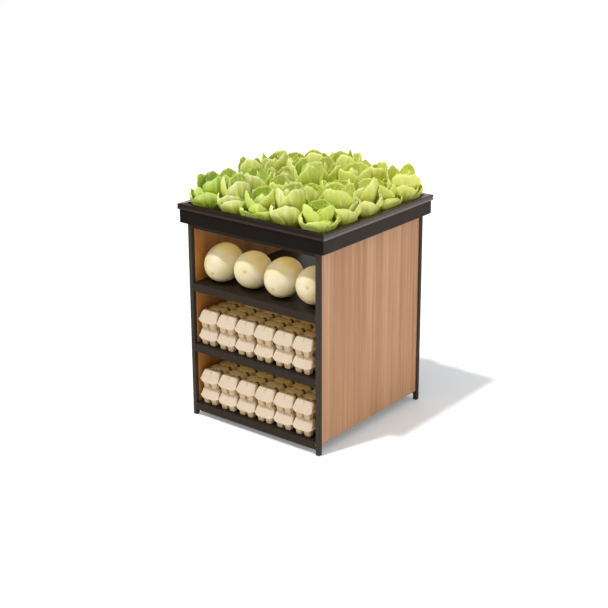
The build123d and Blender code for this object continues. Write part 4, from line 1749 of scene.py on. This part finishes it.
@dataclass(frozen=True)
class Carton:
    """One moulded egg carton for two rows of six, with its base at nought height.

    A blur is the length over which a tint of painted shade fades, and a tint is how much of it shows.
    """

    half_width: float = 0.048183
    half_length: float = 0.149
    height: float = 0.0715
    cells: int = 6
    cup_height: float = 0.0335
    cup_pitch: float = 0.0506
    row_pitch: float = 0.04098
    cup_foot: float = 0.01349
    cup_power: float = 3.4
    cup_dent: float = 0.16
    cup_dent_width: float = 0.17
    cup_tint: float = 0.6
    cup_blur: float = 0.006
    taper: float = math.radians(9.0)
    sharp: float = math.radians(50.0)
    notch: float = 0.0155
    notch_half: float = 0.0102
    notch_power: float = 1.5
    notch_floor: float = 0.047
    notch_full: float = 0.0655
    notch_start: float = 0.018
    notch_blur: float = 0.008
    notch_tint: float = 1.7
    side_start: float = 0.02
    lobe: float = 0.0016
    valley: float = 0.0045
    valley_width: float = 0.007
    pit: float = 0.009
    pit_radius: float = 0.0068
    crease: float = 0.0028
    crease_width: float = 0.0028
    pinch_half: float = 0.0042
    pinch_floor: float = 0.053
    pinch_blur: float = 0.009
    pinch_tint: float = 0.3
    crown_blur: float = 0.003
    crown_draw: float = 0.75
    lid_blur: float = 0.006
    low_blur: float = 0.025
    low_tint: float = 0.5
    straight: float = 0.1125
    corner_steps: int = 6

    # Height, side inset, end inset and corner radius of the body's rings, from the band up to the crown.
    RINGS = (
        (0.0250, 0.0166, 0.0006, 0.0020),
        (0.0254, 0.0155, 0.0002, 0.0022),
        (0.0290, 0.0086, 0.0019, 0.0022),
        (0.0332, 0.0010, 0.0040, 0.0022),
        (0.0342, 0.0000, 0.0044, 0.0020),
        (0.0358, 0.0000, 0.0052, 0.0020),
        (0.0365, 0.0008, 0.0056, 0.0024),
        (0.0372, 0.0016, 0.0059, 0.0032),
        (0.0440, 0.0024, 0.0092, 0.0040),
        (0.0500, 0.0034, 0.0120, 0.0046),
        (0.0560, 0.0043, 0.0149, 0.0052),
        (0.0615, 0.0057, 0.0176, 0.0060),
        (0.0655, 0.0070, 0.0195, 0.0066),
        (0.0685, 0.0088, 0.0214, 0.0072),
        (0.0705, 0.0106, 0.0232, 0.0076),
        (0.0715, 0.0128, 0.0256, 0.0080),
    )
    # Widths of the rings over the crown, as shares of the last ring of the body.
    CROWN = (0.86, 0.70, 0.54, 0.40, 0.30, 0.23, 0.18, 0.13, 0.07, 0.0)
    # Where a ring's points lie: from a border, from a cell's middle, past the straight side, along an end.
    SIDE_STEPS = (0.0, 0.0020, 0.0042, 0.0064, 0.0086, 0.0106)
    CELL_STEPS = (0.0, 0.0055, 0.0105)
    STRETCH = (0.0, 0.3, 0.65, 1.0)
    END_SHARES = (1.0, 0.75, 0.5, 0.3)
    END_STEPS = (0.0048, 0.0028, 0.0013, 0.0)
    # Height and inset of a cup's rings below its top, and the angles in degrees of a quarter of each ring.
    CUP_LEVELS = ((0.0, 0.0036), (0.0009, 0.0014), (0.003, 0.0), (0.016, 0.0))
    CUP_ANGLES = (0.0, 6.0, 13.0, 22.0, 33.0, 45.0, 57.0, 68.0, 77.0, 84.0)
    # How near to the farthest point of a ring its end lies.
    END_PLAY = 1e-6

    def mesh(self) -> bpy.types.Mesh:
        """Moulds the body and the cups.

        Returns:
            The mesh, with the two attributes that carry its painted shade.
        """
        shell = Shell()
        shell.loft(self._body())
        for column in (-0.5, 0.5):
            for y in self._centres():
                shell.loft(self._cup(column * self.row_pitch, y))
        mesh = shell.mesh("egg_carton", self.sharp)
        self._tint(mesh)
        return mesh

    def _tint(self, mesh: bpy.types.Mesh) -> None:
        """Stores the painted shade: where the crown, sides and cups are browner, and how dark the notches,
        pits, lower sides and creased ends are.

        Args:
            mesh: the carton.
        """
        x, y, z = np.array([point.co for point in mesh.vertices]).T
        crown_end = self.half_length - self.RINGS[-1][2]
        # Painted warm shade over the crown and sides, and under the flange on the cups.
        crown = smooth((crown_end - np.abs(y)) / self.crown_blur)
        cups = self.cup_tint * smooth((self.RINGS[0][0] - z) / self.cup_blur)
        from_border = self._from_border(y)
        notch = smooth(self.notch_tint * (1.0 - from_border / self.notch_half))
        notch = notch * smooth((np.abs(x) - self.notch_start) / self.notch_blur)
        pit = bell(x**2 + from_border**2, self.pit_radius**2)
        low = self.low_tint * smooth((self.notch_full - z) / self.low_blur)
        lid = smooth((z - self.cup_height) / self.lid_blur)
        # Painted shade in the notches, the pits and the lower sides of the lid.
        hollow = np.maximum(np.maximum(notch, pit), low) * lid * crown
        # Painted shade along the crease down the middle of each end.
        pinch = smooth(1.0 - np.abs(x) / self.pinch_half) * smooth((z - self.pinch_floor) / self.pinch_blur)
        pinch = self.pinch_tint * pinch * (1.0 - crown)
        store_numbers(mesh, "crown", np.maximum(crown, cups))
        store_numbers(mesh, "hollow", np.maximum(hollow, pinch))

    def _borders(self) -> list[float]:
        """Places along the carton of the borders between cells."""
        return [(border - self.cells / 2.0) * self.cup_pitch for border in range(1, self.cells)]

    def _centres(self) -> list[float]:
        """Places along the carton of the middles of the cells."""
        return [(cell - (self.cells - 1) / 2.0) * self.cup_pitch for cell in range(self.cells)]

    def _from_border(self, y: np.ndarray) -> np.ndarray:
        """How far places along the carton are from the nearest border between cells."""
        return np.abs((y + self.cup_pitch / 2.0) % self.cup_pitch - self.cup_pitch / 2.0)

    def _outline(self, half_width: float, half_length: float, corner: float) -> np.ndarray:
        """One ring of the body as seen from above.

        Args:
            half_width: half the ring's width.
            half_length: half its length.
            corner: radius of its corners.

        Returns:
            Its points, anticlockwise from the front of the right side.
        """
        side: set[float] = set()
        for middles, steps in ((self._borders(), self.SIDE_STEPS), (self._centres()[1:-1], self.CELL_STEPS)):
            side |= {middle + way * step for middle in middles for step in steps for way in (-1, 1)}
        straight = sorted(round(place, 6) for place in side if abs(place) < self.straight)
        spare = half_length - corner - self.straight
        stretch = [self.straight + spare * share for share in self.STRETCH]
        places = [-place for place in reversed(stretch)] + straight + stretch
        right = [(half_width, place) for place in places]
        reach, length = half_width - corner, half_length - corner
        bend = np.linspace(0.0, math.pi / 2.0, self.corner_steps)[1:-1]
        arc = [(reach + corner * math.cos(angle), length + corner * math.sin(angle)) for angle in bend]
        half_end = [reach * share for share in self.END_SHARES] + list(self.END_STEPS)
        end = [(place, half_length) for place in half_end + [-place for place in half_end[-2::-1]]]
        half = right + arc + end + [(-x, y) for x, y in reversed(arc)]
        return np.array(half + [(-x, -y) for x, y in half])

    def _body(self) -> list[np.ndarray]:
        """Shapes the body.

        Returns:
            Its rings, from the band over the crown to its middle line.
        """
        rings = []
        for height, side_inset, end_inset, corner in self.RINGS:
            outline = self._outline(self.half_width - side_inset, self.half_length - end_inset, corner)
            rise = (height - self.notch_floor) / (self.notch_full - self.notch_floor)
            rings.append(self._pressed(outline, height, float(np.clip(rise, 0.0, 1.0))))
        crown = rings[-1]
        for share in self.CROWN:
            ring = crown.copy()
            ring[:, 0] *= share
            past = np.maximum(np.abs(ring[:, 1]) - self.straight, 0.0)
            ring[:, 1] -= np.sign(ring[:, 1]) * past * self.crown_draw * (1.0 - share)
            ring[:, 2] = self.height
            for border in self._borders():
                from_border = ring[:, 1] - border
                ring[:, 2] -= self.valley * (1.0 - share) * bell(from_border, self.valley_width)
                ring[:, 2] -= self.pit * bell(ring[:, 0] ** 2 + from_border**2, self.pit_radius**2)
            rings.append(ring)
        return rings

    def _pressed(self, outline: np.ndarray, height: float, share: float) -> np.ndarray:
        """Presses the notches and lobes of the sides and the crease of each end into a ring.

        Args:
            outline: the ring seen from above.
            height: the ring's height.
            share: how deep the notches are there, from nought to one.

        Returns:
            The ring's points.
        """
        x, y = outline.T
        far = np.abs(y)
        sides = np.sign(x) * (np.abs(x) > self.side_start) * (far <= self.straight)
        dent = self.lobe * (1.0 - self._from_border(y) / (self.cup_pitch / 2.0)) ** 2
        for border in self._borders():
            bite = np.maximum(1.0 - np.abs(y - border) / self.notch_half, 0.0)
            dent = dent + self.notch * bite**self.notch_power
        ends = np.sign(y) * (far > far.max() - self.END_PLAY)
        groove = self.crease * bell(x, self.crease_width) * share**self.notch_power
        return np.stack((x - sides * dent * share, y - ends * groove, np.full_like(x, height)), axis=-1)

    def _cup(self, x: float, y: float) -> list[np.ndarray]:
        """Rings of one cup, with four lobes.

        Args:
            x: its middle across the carton.
            y: its middle along the carton.

        Returns:
            The rings, from the foot up.
        """
        quarter = math.pi / 2.0
        turn = np.concatenate([np.radians(self.CUP_ANGLES) + number * quarter for number in range(4)])
        square = np.abs(np.cos(turn)) ** self.cup_power + np.abs(np.sin(turn)) ** self.cup_power
        from_face = np.abs((turn + quarter / 2.0) % quarter - quarter / 2.0)
        dent = self.cup_dent * bell(from_face, self.cup_dent_width)
        form = square ** (-1.0 / self.cup_power) * (1.0 - dent)
        rings = []
        for height, inset in (*self.CUP_LEVELS, (self.cup_height, 0.0)):
            reach = (self.cup_foot + height * math.tan(self.taper) - inset) * form
            level = np.full(len(turn), height)
            rings.append(np.column_stack((x + reach * np.cos(turn), y + reach * np.sin(turn), level)))
        return rings


@dataclass
class EggCartons:
    """Files of egg cartons, two high and two deep, on the lower shelves."""

    files: int = 6
    deep: int = 2
    layers: int = 2
    length_gap: float = 0.0008
    layer_gap: float = 0.0003
    carton: Carton = Carton()
    finish: PaperPulp = PaperPulp("carton_pulp")

    INPUTS = {
        "Cartons deep": "NodeSocketInt",
        "Length pitch": "NodeSocketFloat",
        "Layers": "NodeSocketInt",
        "Layer pitch": "NodeSocketFloat",
        "Place": "NodeSocketVector",
        "Carton": "NodeSocketObject",
        "Finish": "NodeSocketMaterial",
    }

    def build(self) -> None:
        """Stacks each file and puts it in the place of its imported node."""
        tree = self._tree()
        finish = self.finish.material()
        form = bpy.data.objects.new("egg_carton", self.carton.mesh())
        for level in ShelfLevel:
            for number in range(1, self.files + 1):
                place = f"{level.value}_{number}"
                low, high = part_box(f"egg_cartons_{place}")
                values = {
                    "Cartons deep": self.deep,
                    "Length pitch": self.carton.half_length * 2.0 + self.length_gap,
                    "Layers": self.layers,
                    "Layer pitch": self.carton.height + self.layer_gap,
                    "Place": ((low.x + high.x) / 2.0, low.y + self.carton.half_length, low.z),
                    "Carton": form,
                    "Finish": finish,
                }
                piece = tree.piece(f"carton_stack_{place}", values)
                stand_in(piece, f"carton_file_{place}", f"egg_cartons_{place}")
        bpy.data.objects.remove(form)

    def _tree(self) -> Layout:
        """Builds the tree that sets out one file of cartons.

        Returns:
            The tree.
        """
        layout = Layout("carton_file", self.INPUTS)
        given = layout.given
        deep = given.out("Cartons deep")
        index = layout.node("GeometryNodeInputIndex")
        layer = (index / deep).whole()
        back = (index - layer * deep) * given.out("Length pitch")
        place = layout.vector(0.0, back, layer * given.out("Layer pitch"))
        points = layout.points(deep * given.out("Layers"), place)
        carton = layout.node("GeometryNodeObjectInfo", None, {"Object": given.out("Carton")}, "Geometry")
        copies = layout.node("GeometryNodeInstanceOnPoints", None, {"Points": points, "Instance": carton})
        layout.close(copies, given.out("Finish"))
        return layout


def main() -> None:
    """Sets the stage, dresses the stand and fills it."""
    logging.basicConfig(level=logging.INFO, format="%(name)s: %(message)s")
    Stage().build()
    for assembly in (TubeFrame(), Shelves(), TopTray()):
        assembly.dress()
    for goods in (LettuceBed(), MelonRow(), EggCartons()):
        goods.build()


if __name__ == "__main__":
    main()
